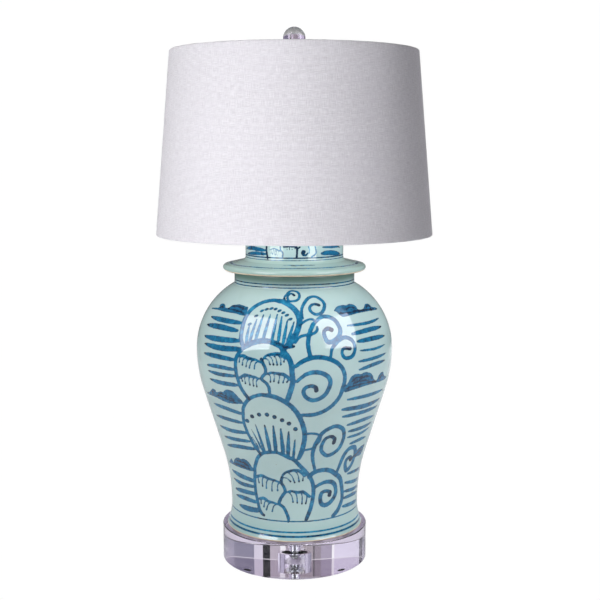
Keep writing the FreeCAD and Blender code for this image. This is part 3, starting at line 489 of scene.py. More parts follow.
class Brush:
    """Paints on the outer rows of a turned mesh, given as grids in degrees and millimetres."""

    def __init__(self, azimuth, radius, height):
        self.azimuth, self.radius, self.height = azimuth, radius, height
        angle = np.radians(azimuth)
        self.place = np.stack([radius * np.sin(angle), -radius * np.cos(angle), height], -1)
        self.edge = np.full(azimuth.shape, FAR)
        self.tone = np.zeros(azimuth.shape)
        self.profile_z = height[:, 0]
        self.profile_r = radius[:, 0]

    def on_surface(self, path):
        radius = np.interp(path[:, 1], self.profile_z, self.profile_r)
        angle = np.radians(path[:, 0])
        return np.stack([radius * np.sin(angle), -radius * np.cos(angle), path[:, 1]], -1)

    def blob(self, path, half, tone):
        """Takes in a run of points with their half widths and tones."""
        reach = half.max() + REACH
        rows = np.nonzero(np.abs(self.profile_z - path[:, 1].mean())
                          < np.ptp(path[:, 1]) / 2 + reach)[0]
        if not len(rows):
            return
        near = self.profile_r[rows].min()
        low, high = path[:, 0].min(), path[:, 0].max()
        spread = math.degrees(reach / near)
        off = (self.azimuth[0] - (low + high) / 2 + 180) % 360 - 180
        cols = np.nonzero(np.abs(off) < (high - low) / 2 + spread)[0]
        if not len(cols):
            return
        block = np.ix_(rows, cols)
        there = self.place[block][:, :, None, :] - self.on_surface(path)[None, None]
        gap = np.sqrt((there ** 2).sum(-1)) - half
        best = gap.argmin(-1)
        depth = np.take_along_axis(gap, best[..., None], -1)[..., 0]
        shade = tone[best]
        old, old_tone = self.edge[block], self.tone[block]
        over = (depth < WET_DEPTH) & (old < WET_DEPTH)
        nearer = depth < old
        mixed = np.where(nearer, shade, old_tone)
        mixed = np.where(over, np.maximum(shade, old_tone) + EXTRA_TONE, mixed)
        self.tone[block] = mixed
        self.edge[block] = np.minimum(depth, old)

    def stroke(self, points, width, tone, shape=EVEN, tip=None):
        """One brush stroke; tip is the tone at its first point where that differs."""
        path = smooth_path(points, STROKE_STEP)
        t = np.linspace(0, 1, len(path))
        half = np.interp(t, *zip(*shape)) * width / 2
        tones = np.full(len(path), tone)
        if tip is not None:
            tones += (tip - tone) * np.clip(1 - t * 7, 0, 1)
        chunk = 30
        for turn in COPIES:
            moved = path + (turn, 0)
            for i in range(0, len(path), chunk):
                part = slice(i, i + chunk + 1)
                self.blob(moved[part], half[part], tones[part])

    def dot(self, azimuth, height, radius, tone):
        for turn in COPIES:
            self.blob(np.array([[azimuth + turn, height]]), np.array([radius]), np.array([tone]))

    def fill(self, points, tone):
        """Washes in the inside of a closed line of points."""
        line = smooth_path([*points, points[0]], STROKE_STEP)
        middle = (line.min(0) + line.max(0)) / 2
        size = np.ptp(line, 0) / 2
        for turn in COPIES:
            off = (self.azimuth[0] - middle[0] - turn + 180) % 360 - 180
            rows = np.nonzero(np.abs(self.profile_z - middle[1]) < size[1] + REACH)[0]
            cols = np.nonzero(np.abs(off) < size[0] + REACH)[0]
            block = np.ix_(rows, cols)
            x, y = (off[cols] + middle[0])[None, :, None], self.height[block][:, :1, None]
            ax, ay = line[:-1, 0], line[:-1, 1]
            bx, by = line[1:, 0], line[1:, 1]
            rise = np.where(by == ay, 1e-9, by - ay)
            crossed = ((ay > y) != (by > y)) & (x < (bx - ax) * (y - ay) / rise + ax)
            inside = crossed.sum(-1) % 2 == 1
            there = self.place[block][:, :, None, :] - self.on_surface(line + (turn, 0))[None, None]
            depth = np.sqrt((there ** 2).sum(-1)).min(-1)
            depth = np.where(inside, -depth, depth)
            self.tone[block] = np.where(depth < self.edge[block], tone, self.tone[block])
            self.edge[block] = np.minimum(depth, self.edge[block])

    def write(self, mesh, size, extra):
        """Stores the strokes on the mesh; extra holds one more named grid of the same rows."""
        for name, grid, empty in (("ink_edge", self.edge, FAR), ("ink_tone", self.tone, 0.0), extra):
            whole = np.full(size, empty, np.float32)
            whole[:grid.size] = grid.ravel()
            mesh.attributes.new(name, "FLOAT", "POINT").data.foreach_set("value", whole)


# A table of strokes gives each one's points, width and tone and, where it needs them, its shape
# and the tone of its tip.
MOUNDS = (
    ([(-29.2, 346), (-31.3, 356), (-31.9, 368), (-31.8, 384.5), (-29.2, 397), (-23, 405.5), (-15.2, 408.7),
        (-9, 407.5)], 6.8, 0.42),
    ([(-13, 408.5), (-7, 406.5), (0, 398.5), (3.2, 387), (2.4, 373.5), (-1.2, 357),
        (-5.2, 347.5)], 8.4, 0.42),
    ([(-10.5, 355.5), (-7, 352), (-4.5, 349), (0, 350)], 4.6, 0.75),
    ([(-28.5, 346), (-24, 352.5), (-20, 355.5), (-16, 356.5), (-12, 355), (-7.5, 350), (-5.5, 343),
        (-3, 335), (-1.5, 326), (-1, 313), (-0.7, 300), (-2, 287), (-3.3, 277), (-4.5, 270)], 7.8, 0.42),
    ([(-27, 272), (-28.5, 277), (-30.5, 284), (-32, 292), (-33.5, 306), (-34, 318), (-33.5, 330),
        (-31, 340), (-28.5, 346)], 6.2, 0.45, EVEN, 0.85),
    ([(-25.2, 186.5), (-27.5, 194.5), (-29.5, 201), (-31, 209), (-32.5, 217), (-33.5, 226), (-34, 234),
        (-33.7, 241.5), (-33, 249), (-32, 257.5), (-28.8, 268), (-25, 275), (-21, 279), (-17.7, 280.5),
        (-13.3, 279.5)], 5.6, 0.45, EVEN, 0.8),
    ([(-17.7, 280.2), (-13.3, 279.5), (-9.6, 277), (-5.6, 272), (-2.3, 266), (0.4, 259), (2.5, 251.5),
        (4.2, 243.5), (5.6, 235), (6.6, 226), (6.9, 219), (6.9, 212), (6.2, 201), (5.2, 193),
        (3.4, 183)], 7.4, 0.45),
    ([(-27.5, 90.5), (-29.5, 92.5), (-31.8, 98), (-33, 106), (-34.5, 118), (-35, 128), (-34.8, 137.5),
        (-34.3, 147), (-33.3, 155), (-32.5, 163), (-30.5, 172), (-28, 180.5), (-24.5, 187), (-22, 189.5),
        (-16.5, 191.5), (-12.2, 191.5)], 5.6, 0.48, EVEN, 0.85),
    ([(10.3, 86.5), (12.3, 94.5), (14.3, 104), (15.8, 116.5), (16.4, 128.5), (15.7, 139), (14.2, 147),
        (12, 154), (9.4, 160.5), (7, 166), (4.2, 171.5), (0, 180.5), (-4.7, 185), (-8.5, 189),
        (-12.2, 191.5)], 6.2, 0.45, EVEN, 0.9),
    ([(12, 152), (15, 158.5), (19.8, 161.5), (25.5, 161.5), (31, 158), (34.8, 153), (41, 144), (44.3, 131),
        (46, 120), (46.5, 109), (44, 99.5), (40.5, 92), (36, 87)], 7.4, 0.5),
    ([(0.8, 322.5), (3.6, 328), (6.8, 332), (10.7, 334.5), (14.7, 334.5), (19.5, 331.5), (24, 325.5),
        (27.3, 317), (29, 307), (29.2, 297), (28.3, 288), (27.5, 278.5), (25.5, 270), (22.6, 262.5),
        (19.3, 257), (15.3, 253), (11.3, 251), (4.7, 251)], 6.6, 0.48),
)


def paint_strokes(brush, strokes):
    for stroke in strokes:
        brush.stroke(*stroke)


def paint_mounds(brush):
    """The column of rounded hills down the middle, each over the next."""
    paint_strokes(brush, MOUNDS)


# The tops and bottoms of the hanging strokes, and the middles of the dots above them.
UPPER_HAIRS = (
    ((-27.5, 377), (-27.8, 353)), ((-23.5, 384), (-25.5, 355)), ((-19.8, 390), (-22, 357)),
    ((-15.2, 391), (-17.5, 359)), ((-10.7, 391.5), (-12.3, 359.5)), ((-7.6, 389), (-8.7, 357.5)),
    ((-4, 384.5), (-6, 354.5)), ((0, 382), (-4, 352)),
)
UPPER_DOTS = (
    (-27.6, 377), (-24.6, 388), (-21.6, 395), (-18.6, 397.2), (-15.4, 398.4), (-12.4, 398), (-9.6, 396),
    (-6.9, 393.6), (-4.5, 390.6), (-2.2, 385.6),
)
LOWER_HAIRS = (
    ((-29.8, 213), (-25.5, 195.5), 2.4), ((-29, 225), (-22.7, 190.5), 3.2),
    ((-25.5, 233.5), (-21.5, 191.5), 4.4), ((-19, 233.5), (-17.3, 191.8), 6.4),
    ((-13.3, 233.5), (-13, 191.8), 6.4), ((-8.6, 229.5), (-7.8, 190), 6.4),
    ((-3.5, 225.5), (-4.4, 186), 6.2), ((0.6, 213.5), (-0.6, 181.5), 4.4), ((3.8, 189), (2.6, 181), 2.6),
)
LOWER_DOTS = (
    (-31, 237.5), (-26.8, 245.5), (-21.8, 249.5), (-16.6, 250.5), (-12, 247.5), (-7.3, 243), (-3.2, 238),
    (0.9, 229.5),
)
DOT_LEAN, DOT_LIFT = 0.7, 0.6


def paint_combs(brush):
    """Rows of dots and hanging strokes in the first and third hills."""
    for top, bottom in UPPER_HAIRS:
        brush.stroke([top, bottom], 5.2, 0.26, LEAF, 0.5)
    for azimuth, height in UPPER_DOTS:
        ends = [(azimuth + side * DOT_LEAN, height + side * DOT_LIFT) for side in (-1, 1)]
        brush.stroke(ends, 4.2, 0.66)
    for top, bottom, width in LOWER_HAIRS:
        brush.stroke([top, bottom], width, 0.5, LEAF, 0.85)
    for azimuth, height in LOWER_DOTS:
        brush.dot(azimuth, height, 3.4, 0.88)


# How far a hair's middle bows outwards, in degrees, and up, in millimetres.
HAIR_BEND, HAIR_LIFT = 0.7, 2.0


def spray(brush, crest, tips, dark):
    """A pine spray: a washed crest from its root outwards, and hairs hanging from it to their tips."""
    line = smooth_path(crest, 1.0)
    brush.stroke(crest, 5.4, 0.34, LEAF)
    middle = line[len(line) // 4:len(line) * 4 // 5]
    brush.stroke([tuple(p) for p in middle[::max(1, len(middle) // 3)]], 2.6, 0.75)
    for share, tip in zip(np.linspace(0.14, 0.86, len(tips)), tips):
        start = line[round(share * (len(line) - 1))]
        outward = math.copysign(HAIR_BEND, tip[0] - crest[0][0])
        bend = (start + np.array(tip)) / 2 + (outward, HAIR_LIFT)
        brush.stroke([tuple(start), tuple(bend), tip], 2.5, 0.5, HAIR)
        brush.dot(*tip, 1.5, dark)


STEMS = (
    ([(-18, 332), (-17, 326), (-15.7, 319), (-15.7, 312), (-17.5, 307), (-17.7, 302.5), (-15.5, 298),
        (-14, 292), (-13.7, 282.5)], 5.0, 0.55, EVEN, 0.9),
    ([(-10, 152), (-10.5, 144), (-8.5, 137), (-7.5, 130), (-9, 126), (-11.5, 119), (-13, 111), (-9.5, 106),
        (-7, 98.5), (-5, 88.5), (-5.2, 84.5)], 5.0, 0.55, EVEN, 0.85),
)
# Each spray's crest, the tips of its hairs and how dark those are.
SPRAYS = (
    ([(-18, 326), (-21, 330), (-26, 331.5), (-28.5, 334), (-31, 333.5)], [(-22, 317.5), (-25, 318),
        (-27, 319.5), (-29.4, 321), (-31.4, 325)], 0.6),
    ([(-17.5, 328.5), (-16, 335), (-13, 338.5), (-8, 339.5), (-4.6, 334.5)], [(-13, 324.5), (-11, 324.5),
        (-9, 324.5), (-7, 325), (-5.4, 329)], 1.0),
    ([(-18, 302.5), (-21, 305), (-25, 306.5), (-28, 307), (-31, 303)], [(-21, 292), (-23, 292.5),
        (-25.2, 293.5), (-28, 295), (-29.8, 298)], 0.95),
    ([(-16, 309.5), (-13, 313), (-9, 312.5), (-5, 310.5), (-2.3, 304.5)], [(-13, 300), (-11, 301),
        (-8.5, 299), (-6, 299.5), (-3.8, 300.5)], 1.0),
    ([(-9.5, 140), (-14, 145.5), (-22, 149), (-27, 152), (-33, 148.5)], [(-14, 131), (-19, 130),
        (-24, 133), (-27.4, 135.5), (-30.6, 140)], 0.6),
    ([(-11, 145), (-9, 156), (-4.5, 162), (3, 163.5), (8.4, 155)], [(-3, 146), (0.3, 144.5), (4, 146),
        (7, 147.5)], 1.0),
    ([(-8, 127.5), (-3, 131), (3, 129), (7.5, 129.5), (13, 122)], [(-1, 114), (2.6, 113), (6.6, 111.5),
        (10, 111.5)], 0.95),
    ([(-13, 109), (-18, 111.5), (-23, 113), (-27, 116.5), (-31, 115)], [(-19.5, 98), (-25, 99.5),
        (-27.4, 103.5), (-30, 108)], 0.6),
)


def paint_pines(brush):
    """Branching stems with sprays in the second and fourth hills."""
    paint_strokes(brush, STEMS)
    for crest, tips, dark in SPRAYS:
        spray(brush, crest, tips, dark)


# Each curl's width, tone and points from its inner end; then the ribbons.
CURLS = (
    (4.2, 0.5, [(0.1, 415), (-1.5, 416.8), (-3, 417), (-5, 413.8), (-4.3, 409.3), (-2, 407.8),
        (2.4, 409.3), (4.3, 414.5), (2.8, 419), (-1.8, 420.5), (-4.3, 419), (-7.3, 413.2), (-7, 409.5),
        (-5.2, 407)]),
    (5.2, 0.46, [(17.5, 402.5), (15.7, 403.7), (12.5, 403.3), (10.5, 398.5), (12, 393.3), (14.7, 391),
        (18.6, 393.5), (21.8, 402.5), (20.7, 408.5), (16.7, 413), (11.3, 411.8), (7.3, 405.5),
        (5.2, 398.5), (5, 392), (5.5, 386.5)]),
    (6.8, 0.42, [(22.4, 370.5), (20, 372.5), (17.8, 369), (17.6, 362.5), (19.5, 354.5), (24, 357),
        (27.8, 367), (27, 378.5), (24, 385.5), (19.5, 388), (16, 386), (13.5, 382)]),
    (6.0, 0.48, [(32.6, 343.5), (28.7, 344.5), (27.3, 339.5), (28.2, 333), (30.3, 330.5), (33.5, 332),
        (35.5, 338), (36, 346), (35, 353), (33, 357), (29.5, 359), (25.5, 355), (22.8, 349.5),
        (21.2, 344.5), (20.4, 334)]),
    (6.8, 0.46, [(12.5, 287.8), (12, 292), (9.5, 294.5), (6.3, 292), (5.3, 285.5), (6.7, 278.5),
        (10, 273.5), (14, 274.5), (17.7, 280.5), (19.8, 290), (20.4, 299), (18.8, 307), (15, 312.5),
        (10.7, 314), (6.8, 311.5), (3.6, 306), (1.8, 301.5)]),
    (6.6, 0.46, [(28.5, 204), (28.7, 210), (25.8, 214.5), (22, 212.5), (20.3, 207), (19.3, 199.5),
        (20.3, 191.5), (25.3, 184.5), (33, 191), (36, 205), (35.5, 217.5), (33, 225.5), (28, 230),
        (23.3, 227.5), (19.2, 222), (16.4, 212), (14.5, 202.5), (13.4, 191.5), (13.8, 180.5),
        (16, 164.5)]),
    (7.8, 0.5, [(50, 170), (48, 174), (44.7, 171.5), (44.5, 162.5), (47.5, 153.5), (51.5, 157), (54, 166),
        (53.5, 180), (50.5, 188.5), (45.5, 189.5), (42, 185), (39.8, 176.5), (38.3, 165.5),
        (36.7, 155.5)]),
    (7.0, 0.5, [(31.7, 120.5), (31.8, 125), (27.5, 127.5), (23.7, 125), (22.8, 116), (24.5, 108),
        (29, 106), (34.5, 111), (38, 120.5), (37, 132.5), (33.5, 139.5), (28, 142), (22.3, 140),
        (17.7, 136)]),
)
RIBBONS = (
    ([(3.3, 377), (5.7, 381.5), (8.7, 384.8), (11.5, 385), (13.5, 382)], 3.6, 0.5),
    ([(12.7, 381), (11.5, 378.5), (10.7, 375.5), (9.3, 369), (8.3, 361.5), (7.8, 352.5), (8.3, 343),
        (9.2, 333.5)], 6.4, 0.4),
    ([(0.8, 355), (2.7, 361.5), (5.7, 364.5), (8.8, 365), (11.5, 367), (13.5, 370.5),
        (13.8, 375)], 4.2, 0.42),
    ([(6.6, 221), (10.7, 222), (15, 220.5), (17.8, 216.5), (17.6, 210), (15.7, 204), (13.3, 198.5),
        (7.3, 196)], 4.0, 0.5),
)


def paint_scrolls(brush):
    """Curling clouds on the right, and the ribbons that tie them to the hills."""
    for width, tone, points in CURLS:
        brush.stroke(points, width, tone, CURL, 1.0)
        brush.dot(*points[0], width * 0.46, 1.0)
    paint_strokes(brush, RIBBONS)


# Each dash's outer and inner end, and its width.
DASHES = (
    (-65, 378.5, -33.5, 377.5, 8), (-66, 367, -35, 367, 8.6), (-65, 351, -32, 354, 8.6),
    (-63, 341, -30, 343, 8.6), (-63, 327, -34.5, 327, 7.4), (-60, 311, -34.5, 313, 6.4),
    (-59, 303, -34, 304, 6), (-58, 291, -33, 291, 7), (-62, 252, -33, 247, 7), (-64, 233, -35.3, 233, 6.6),
    (-63.5, 217, -33.5, 218, 7), (-61, 201.5, -32, 205, 6.4), (-61, 187.5, -28.5, 194, 7),
    (-66, 146, -34.5, 141, 8.4), (-66, 133, -35.3, 132, 6.6), (-65, 117.5, -34.5, 121, 7.4),
    (-64, 108, -33.5, 108, 7), (-58.5, 95, -31.3, 96.5, 8.6), (67, 376, 33.5, 374, 4.8),
    (65, 364.5, 35.5, 362.5, 7.2), (66, 351, 38.5, 351.5, 7.2), (65, 339, 39.5, 338.5, 4),
    (65.5, 326, 38.3, 323.5, 5.2), (64, 316, 39, 311.5, 6), (70, 270, 33, 269.5, 6.2),
    (69, 256, 30.5, 255, 8.2), (69, 245, 31.8, 243.5, 6.8), (68, 230.5, 37, 229, 6.6),
    (67, 220.5, 39.5, 218, 6.4), (66, 213, 40, 208.5, 5.4), (64, 199, 44, 197, 6.2),
    (80, 143, 50, 147, 5.6), (80, 128, 48.5, 133.5, 6), (80, 115.5, 48.5, 120, 6),
    (80, 105, 48.5, 109.5, 6.2), (80, 92.5, 47.5, 97, 6.4),
)


def paint_water(brush):
    """Level dashes either side for water, each from its outer end in to the hills."""
    for i, (a, start, b, end, width) in enumerate(DASHES):
        bow = 1.6 * math.sin(i * 1.7)
        middle = ((a + b) / 2, (start + end) / 2 + bow)
        tone = 0.5 + 0.06 * math.sin(i * 2.3)
        brush.stroke([(a, start), middle, (b, end)], width, tone, DASH, 0.9)


# Each islet's silhouette and the darker strokes laid into it.
ISLETS = (
    ([(-72.2, 389), (-61.5, 392), (-62.5, 395), (-61.2, 397.5), (-58, 398), (-54.8, 396), (-53.5, 394),
        (-49.8, 394.5), (-48, 398), (-45, 399.5), (-42, 400.5), (-38.5, 400), (-35.5, 399), (-32.8, 398),
        (-32.2, 390.5), (-33.8, 387), (-41, 388.5), (-51.2, 388.5), (-60.2, 389), (-70.8, 387.5)],
        ([(-50, 393.5), (-44, 393), (-38, 391.5), (-34, 389.5)], [(-60, 393), (-57.5, 394.5),
        (-55.5, 392.5)], [(-48, 397), (-42, 397.5), (-36, 396)])),
    ([(27, 394), (28.2, 396.5), (30.8, 399.5), (35.2, 400.5), (38.8, 400), (42.2, 401), (45.8, 399.5),
        (47.2, 396.5), (47.5, 393), (50, 392), (53.8, 393), (58, 397), (61.8, 397.5), (64.2, 395),
        (65.2, 392), (70.8, 389.5), (71.5, 386.5), (58, 388), (45, 388), (37.5, 386.5), (31.8, 386),
        (28.8, 392.5)], ([(30, 391), (38, 390.5), (46, 391), (55, 390.5), (66, 389)], [(37, 394.5),
        (41, 397), (45.5, 395), (47, 392)], [(57, 392.5), (60, 395), (62.5, 392)])),
    ([(-68.8, 265), (-62.5, 269.5), (-59.5, 273.5), (-57.5, 276), (-55.5, 277), (-53.5, 276), (-53.5, 273),
        (-51.2, 274), (-48.8, 276), (-46.2, 276), (-45, 278.5), (-42.8, 281), (-40.2, 282), (-37.8, 280.5),
        (-36, 277.5), (-34, 272.5), (-32.2, 268.5), (-31.5, 264), (-35.8, 262), (-39.5, 261),
        (-44.2, 260.5), (-49.2, 262), (-55, 264), (-68.5, 264)], ([(-54, 268.5), (-48, 268.5), (-42, 266),
        (-36, 263)], [(-51, 272.5), (-47, 272.5), (-43.5, 270), (-38, 267)], [(-58, 272), (-56, 273)])),
    ([(28.8, 291.5), (31, 293), (31.8, 296.5), (33, 302), (35.2, 305.5), (38.2, 306), (40.5, 305),
        (42.8, 306.5), (45.5, 306), (49, 302.5), (51.2, 298), (52, 294), (54.2, 290.5), (56.2, 291),
        (57, 295.5), (60, 299.5), (63.2, 298.5), (65, 293), (70.5, 288), (67, 285.5), (57.2, 286),
        (47, 286), (40, 284.5), (35, 283), (30, 281.5)], ([(31, 287), (38, 289.5), (46, 290), (56, 288.5)],
        [(34, 296), (38, 301), (42, 300)], [(38, 294), (43, 300), (48, 299), (51, 294)], [(59, 291),
        (62, 296)], [(35, 292), (42, 295), (47, 293)])),
    ([(-68.2, 158), (-64.5, 162.5), (-61, 166), (-58, 162), (-56, 166.5), (-52.2, 171), (-48.8, 173),
        (-46.2, 172), (-43.2, 173.5), (-40.2, 173), (-37.8, 170.5), (-36, 165.5), (-34.2, 160.5),
        (-34.8, 156.5), (-45.5, 156.5), (-61.5, 157), (-69.2, 156)], ([(-60, 159.5), (-50, 160.5),
        (-38, 159)], [(-52, 167), (-46, 167.5), (-39, 164)])),
    ([(50.8, 173.5), (53.2, 177), (56, 182.5), (59.8, 185.5), (64.8, 186.5), (67.8, 185), (66.8, 175),
        (65.5, 170), (58.5, 170.5), (54.2, 170)], ([(54, 173), (59, 178), (64, 181)],)),
)


def paint_islets(brush):
    """Dark islets on the water: a washed silhouette with darker strokes laid into it."""
    for outline, darker in ISLETS:
        brush.fill(outline, 0.58)
        for points in darker:
            brush.stroke(points, 3.0, 0.98)


def paint_lid(brush):
    """A band of small panels round the lid's wall, cut off by rules."""
    for points, width in (([(-74.5, 474.1), (-58, 476.1), (-46.2, 475.6), (-34.8, 474.6)], 6.2),
                          ([(-70, 466.9), (-50, 469.2), (-34, 469.4)], 5.4),
                          ([(68.2, 475.2), (60, 478), (46.8, 478.4), (34.2, 479.3)], 3.6),
                          ([(66, 467.0), (46, 470.4), (33, 470.2)], 7.6)):
        brush.stroke(points, width, 0.6, DASH, tip=0.9)
    for points in ([(-33, 482), (-33.2, 475.3), (-32.5, 469.6), (-31.5, 463.3)],
                   [(2.2, 482), (3.2, 476.3), (3.2, 470.6), (2.8, 464.6)]):
        brush.stroke(points, 3.2, 1.0)
    brush.stroke([(6.8, 480.6), (4, 477.6), (3.2, 474)], 2.4, 0.9)
    brush.stroke([(-28.5, 475.8), (-23, 477.8), (-18.5, 475.8), (-14.2, 473.8)], 1.8, 0.4)
    for start, end in (((-26.2, 476.3), (-27, 470.8)), ((-24, 476.8), (-25, 469.8)),
                       ((-21.8, 476.6), (-23, 468.8)), ((-20, 475.6), (-21.2, 468.3)),
                       ((-17.8, 474.6), (-19, 467.8))):
        brush.stroke([start, end], 1.3, 0.35, HAIR)
    brush.stroke([(-15.8, 482), (-15.5, 476.6), (-13, 471.6), (-13.2, 465.6)], 2.6, 0.4)
    brush.stroke([(-12, 480.6), (-7.2, 481.3), (-2.8, 481.6), (1.8, 480.8)], 3.2, 0.85)
    for start, end in (((-8, 480), (-7.8, 476.8)), ((-5.4, 480), (-5.2, 476.6)),
                       ((-2.6, 480), (-2.2, 477.1)), ((0.6, 480), (0.8, 478.1))):
        brush.stroke([start, end], 1.5, 0.95, HAIR)
    brush.stroke([(9.6, 474), (8.6, 471.4), (10.2, 468.9), (13.4, 468.7), (15.2, 471.4)], 2.8, 0.8)
    brush.dot(10.6, 473.2, 3.2, 1.0)
    brush.stroke([(16.5, 481.5), (17.5, 476.3), (17, 471.3)], 2.2, 0.2)
    brush.stroke([(24.2, 481.5), (25.5, 474.8), (24.8, 469.6), (19.8, 466.1)], 2.6, 0.25)
    brush.stroke([(-12, 454.8), (-5, 455.2), (1.5, 454.9), (10, 455.2), (21, 454.9)], 3.0, 0.45, DASH)
    brush.stroke([(-2.5, 454.9), (1.5, 454.6)], 3.0, 1.0)
    brush.stroke([(6.5, 455), (9.5, 454.9)], 2.4, 0.9)


# ---------------------------------------------------------------------------------------------
# Jar and lid
# ---------------------------------------------------------------------------------------------
JAR_COLUMNS, LID_COLUMNS = 560, 400
JAR_STEP, JAR_INSIDE_STEP = 1.6, 11.0
LID_STEP, LID_INSIDE_STEP = 1.2, 8.0
JAR_BARE, LID_BARE, BARE_FADE = 57.4, 443.3, 1.2
FOOT_Z, WAIST, BELLY = 55.0, (95.4, 88.1), (146.1, 324.6)
FLARE, HOLLOW, SWELL, SHOULDER = 76.9, 285.7, 199.6, 112.0
RISE, SWELL_START = (108.37, 173.17), (137.06, 265.12)
NECK_R, NECK_ROOT, RIM_Z, RIM_EDGE = 89.0, 3.0, 441.0, 2.5
WALL, FLOOR, HOLE, RING_R, RING_EDGE, RING_DEEP = 8.0, 9.0, 6.5, 90.0, 2.0, 6.0


def jar_outline():
    """The jar's outer line from its foot to its rim, and the inner line back down."""
    ring_top = FOOT_Z + RING_EDGE
    drop = WAIST[1] - ring_top
    ring_radius = WAIST[0] + FLARE - math.sqrt(FLARE ** 2 - drop ** 2)
    shoulder_x = BELLY[0] - SHOULDER
    run = NECK_R + NECK_ROOT - shoulder_x
    shoulder_top = BELLY[1] + math.sqrt(SHOULDER ** 2 - run ** 2)
    outer = trace([
        (ring_radius - RING_EDGE, FOOT_Z, RING_EDGE),
        (ring_radius, ring_top, -FLARE),
        (*WAIST, -HOLLOW),
        RISE,
        (*SWELL_START, SWELL),
        (*BELLY, SHOULDER),
        (NECK_R + NECK_ROOT, shoulder_top, -NECK_ROOT),
        (NECK_R, shoulder_top + NECK_ROOT),
        (NECK_R, RIM_Z - RIM_EDGE, RIM_EDGE),
        (NECK_R - RIM_EDGE, RIM_Z)], JAR_STEP)
    lean = np.array(SWELL_START) - np.array(RISE)
    inward = np.array([-lean[1], lean[0]]) / np.hypot(*lean) * WALL
    neck_in = NECK_R - WALL
    inner_run = neck_in - shoulder_x
    inner_top = BELLY[1] + math.sqrt((SHOULDER - WALL) ** 2 - inner_run ** 2)
    inner_floor = FOOT_Z + RING_DEEP + FLOOR
    inner = trace([
        (NECK_R - RIM_EDGE, RIM_Z),
        (neck_in, RIM_Z),
        (neck_in, inner_top, WALL - SHOULDER),
        (BELLY[0] - WALL, BELLY[1], WALL - SWELL),
        (*(np.array(SWELL_START) + inward),),
        (*(np.array(RISE) + inward), HOLLOW + WALL),
        (WAIST[0] - WALL, WAIST[1]),
        (WAIST[0] - WALL, inner_floor),
        (HOLE, inner_floor),
        (HOLE, FOOT_Z + RING_DEEP),
        (RING_R, FOOT_Z + RING_DEEP),
        (RING_R, FOOT_Z)], JAR_INSIDE_STEP)
    return outer, inner[1:]


def make_painted(name, outlines, columns, painters, bare_below, node, material):
    """Turns an outline, paints its outer side and leaves the clay bare below a height."""
    outer, inner = outlines
    pot, azimuth, radius, height = turned_mesh(name, outer + inner, columns)
    rows = len(outer)
    brush = Brush(azimuth[:rows], radius[:rows], height[:rows])
    for paint in painters:
        paint(brush)
    bare = np.clip((bare_below - height[:rows]) / BARE_FADE + 0.5, 0, 1)
    brush.write(pot.data, azimuth.size, ("bare_clay", bare, 1.0))
    sharpen(pot)
    dress(pot, material, "root", "glaze", node)
    return pot


BRIM_R, BRIM_CURVE, BRIM_RISE = 105.8, 4.6, 5.6
LID_R, LID_FILLET, LID_WALL, LID_BEND = 72.4, 5.5, 6.0, 24.0
LID_TOP, LID_FLAT, FLANGE_R, FLANGE_DEEP = 512.0, 33.0, 79.0, 14.0


def lid_outline():
    """The lid's outer line from under its brim to its hole, and the inner line back down."""
    edge_top = RIM_Z + BRIM_CURVE * 2
    root_top = edge_top + BRIM_RISE
    steep = math.sqrt(0.75)
    crown = (LID_R - LID_BEND / 2 - LID_FLAT) * 2
    shoulder = LID_TOP - crown * (1 - steep)
    wall_top = shoulder - LID_BEND * steep
    outer = trace([
        (BRIM_R - BRIM_CURVE, RIM_Z, BRIM_CURVE),
        (BRIM_R, RIM_Z + BRIM_CURVE, BRIM_CURVE),
        (BRIM_R - BRIM_CURVE, edge_top),
        (LID_R + LID_FILLET, root_top, -LID_FILLET),
        (LID_R, root_top + LID_FILLET),
        (LID_R, wall_top, LID_BEND),
        (LID_R - LID_BEND / 2, shoulder, crown),
        (LID_FLAT, LID_TOP),
        (HOLE, LID_TOP)], LID_STEP)
    inner = trace([
        (HOLE, LID_TOP),
        (HOLE, LID_TOP - LID_WALL),
        (LID_FLAT, LID_TOP - LID_WALL, LID_WALL - crown),
        (LID_R - LID_BEND / 2 - LID_WALL / 2, shoulder - LID_WALL * steep, LID_WALL - LID_BEND),
        (LID_R - LID_WALL, wall_top),
        (LID_R - LID_WALL, edge_top),
        (FLANGE_R - LID_WALL, edge_top - LID_WALL),
        (FLANGE_R - LID_WALL, RIM_Z - FLANGE_DEEP),
        (FLANGE_R, RIM_Z - FLANGE_DEEP),
        (FLANGE_R, RIM_Z)], LID_INSIDE_STEP)
    return outer, inner[1:]


# ---------------------------------------------------------------------------------------------
# Shade
# ---------------------------------------------------------------------------------------------
SHADE_LOW, SHADE_HIGH = (203.2, 493.2), (180.3, 758.9)
CLOTH, STYRENE, RING_WIRE, HEM = 0.6, 0.6, 1.4, 10.0
SEAM_HALF, SEAM_RISE = 1.7, 0.45
FACE_STEP, BACK_STEP, ROLL_STEP, SHADE_COLUMNS = 6.0, 12.0, 0.7, 400
SEAM_EDGE, SEAM_ROWS = 0.35, 6


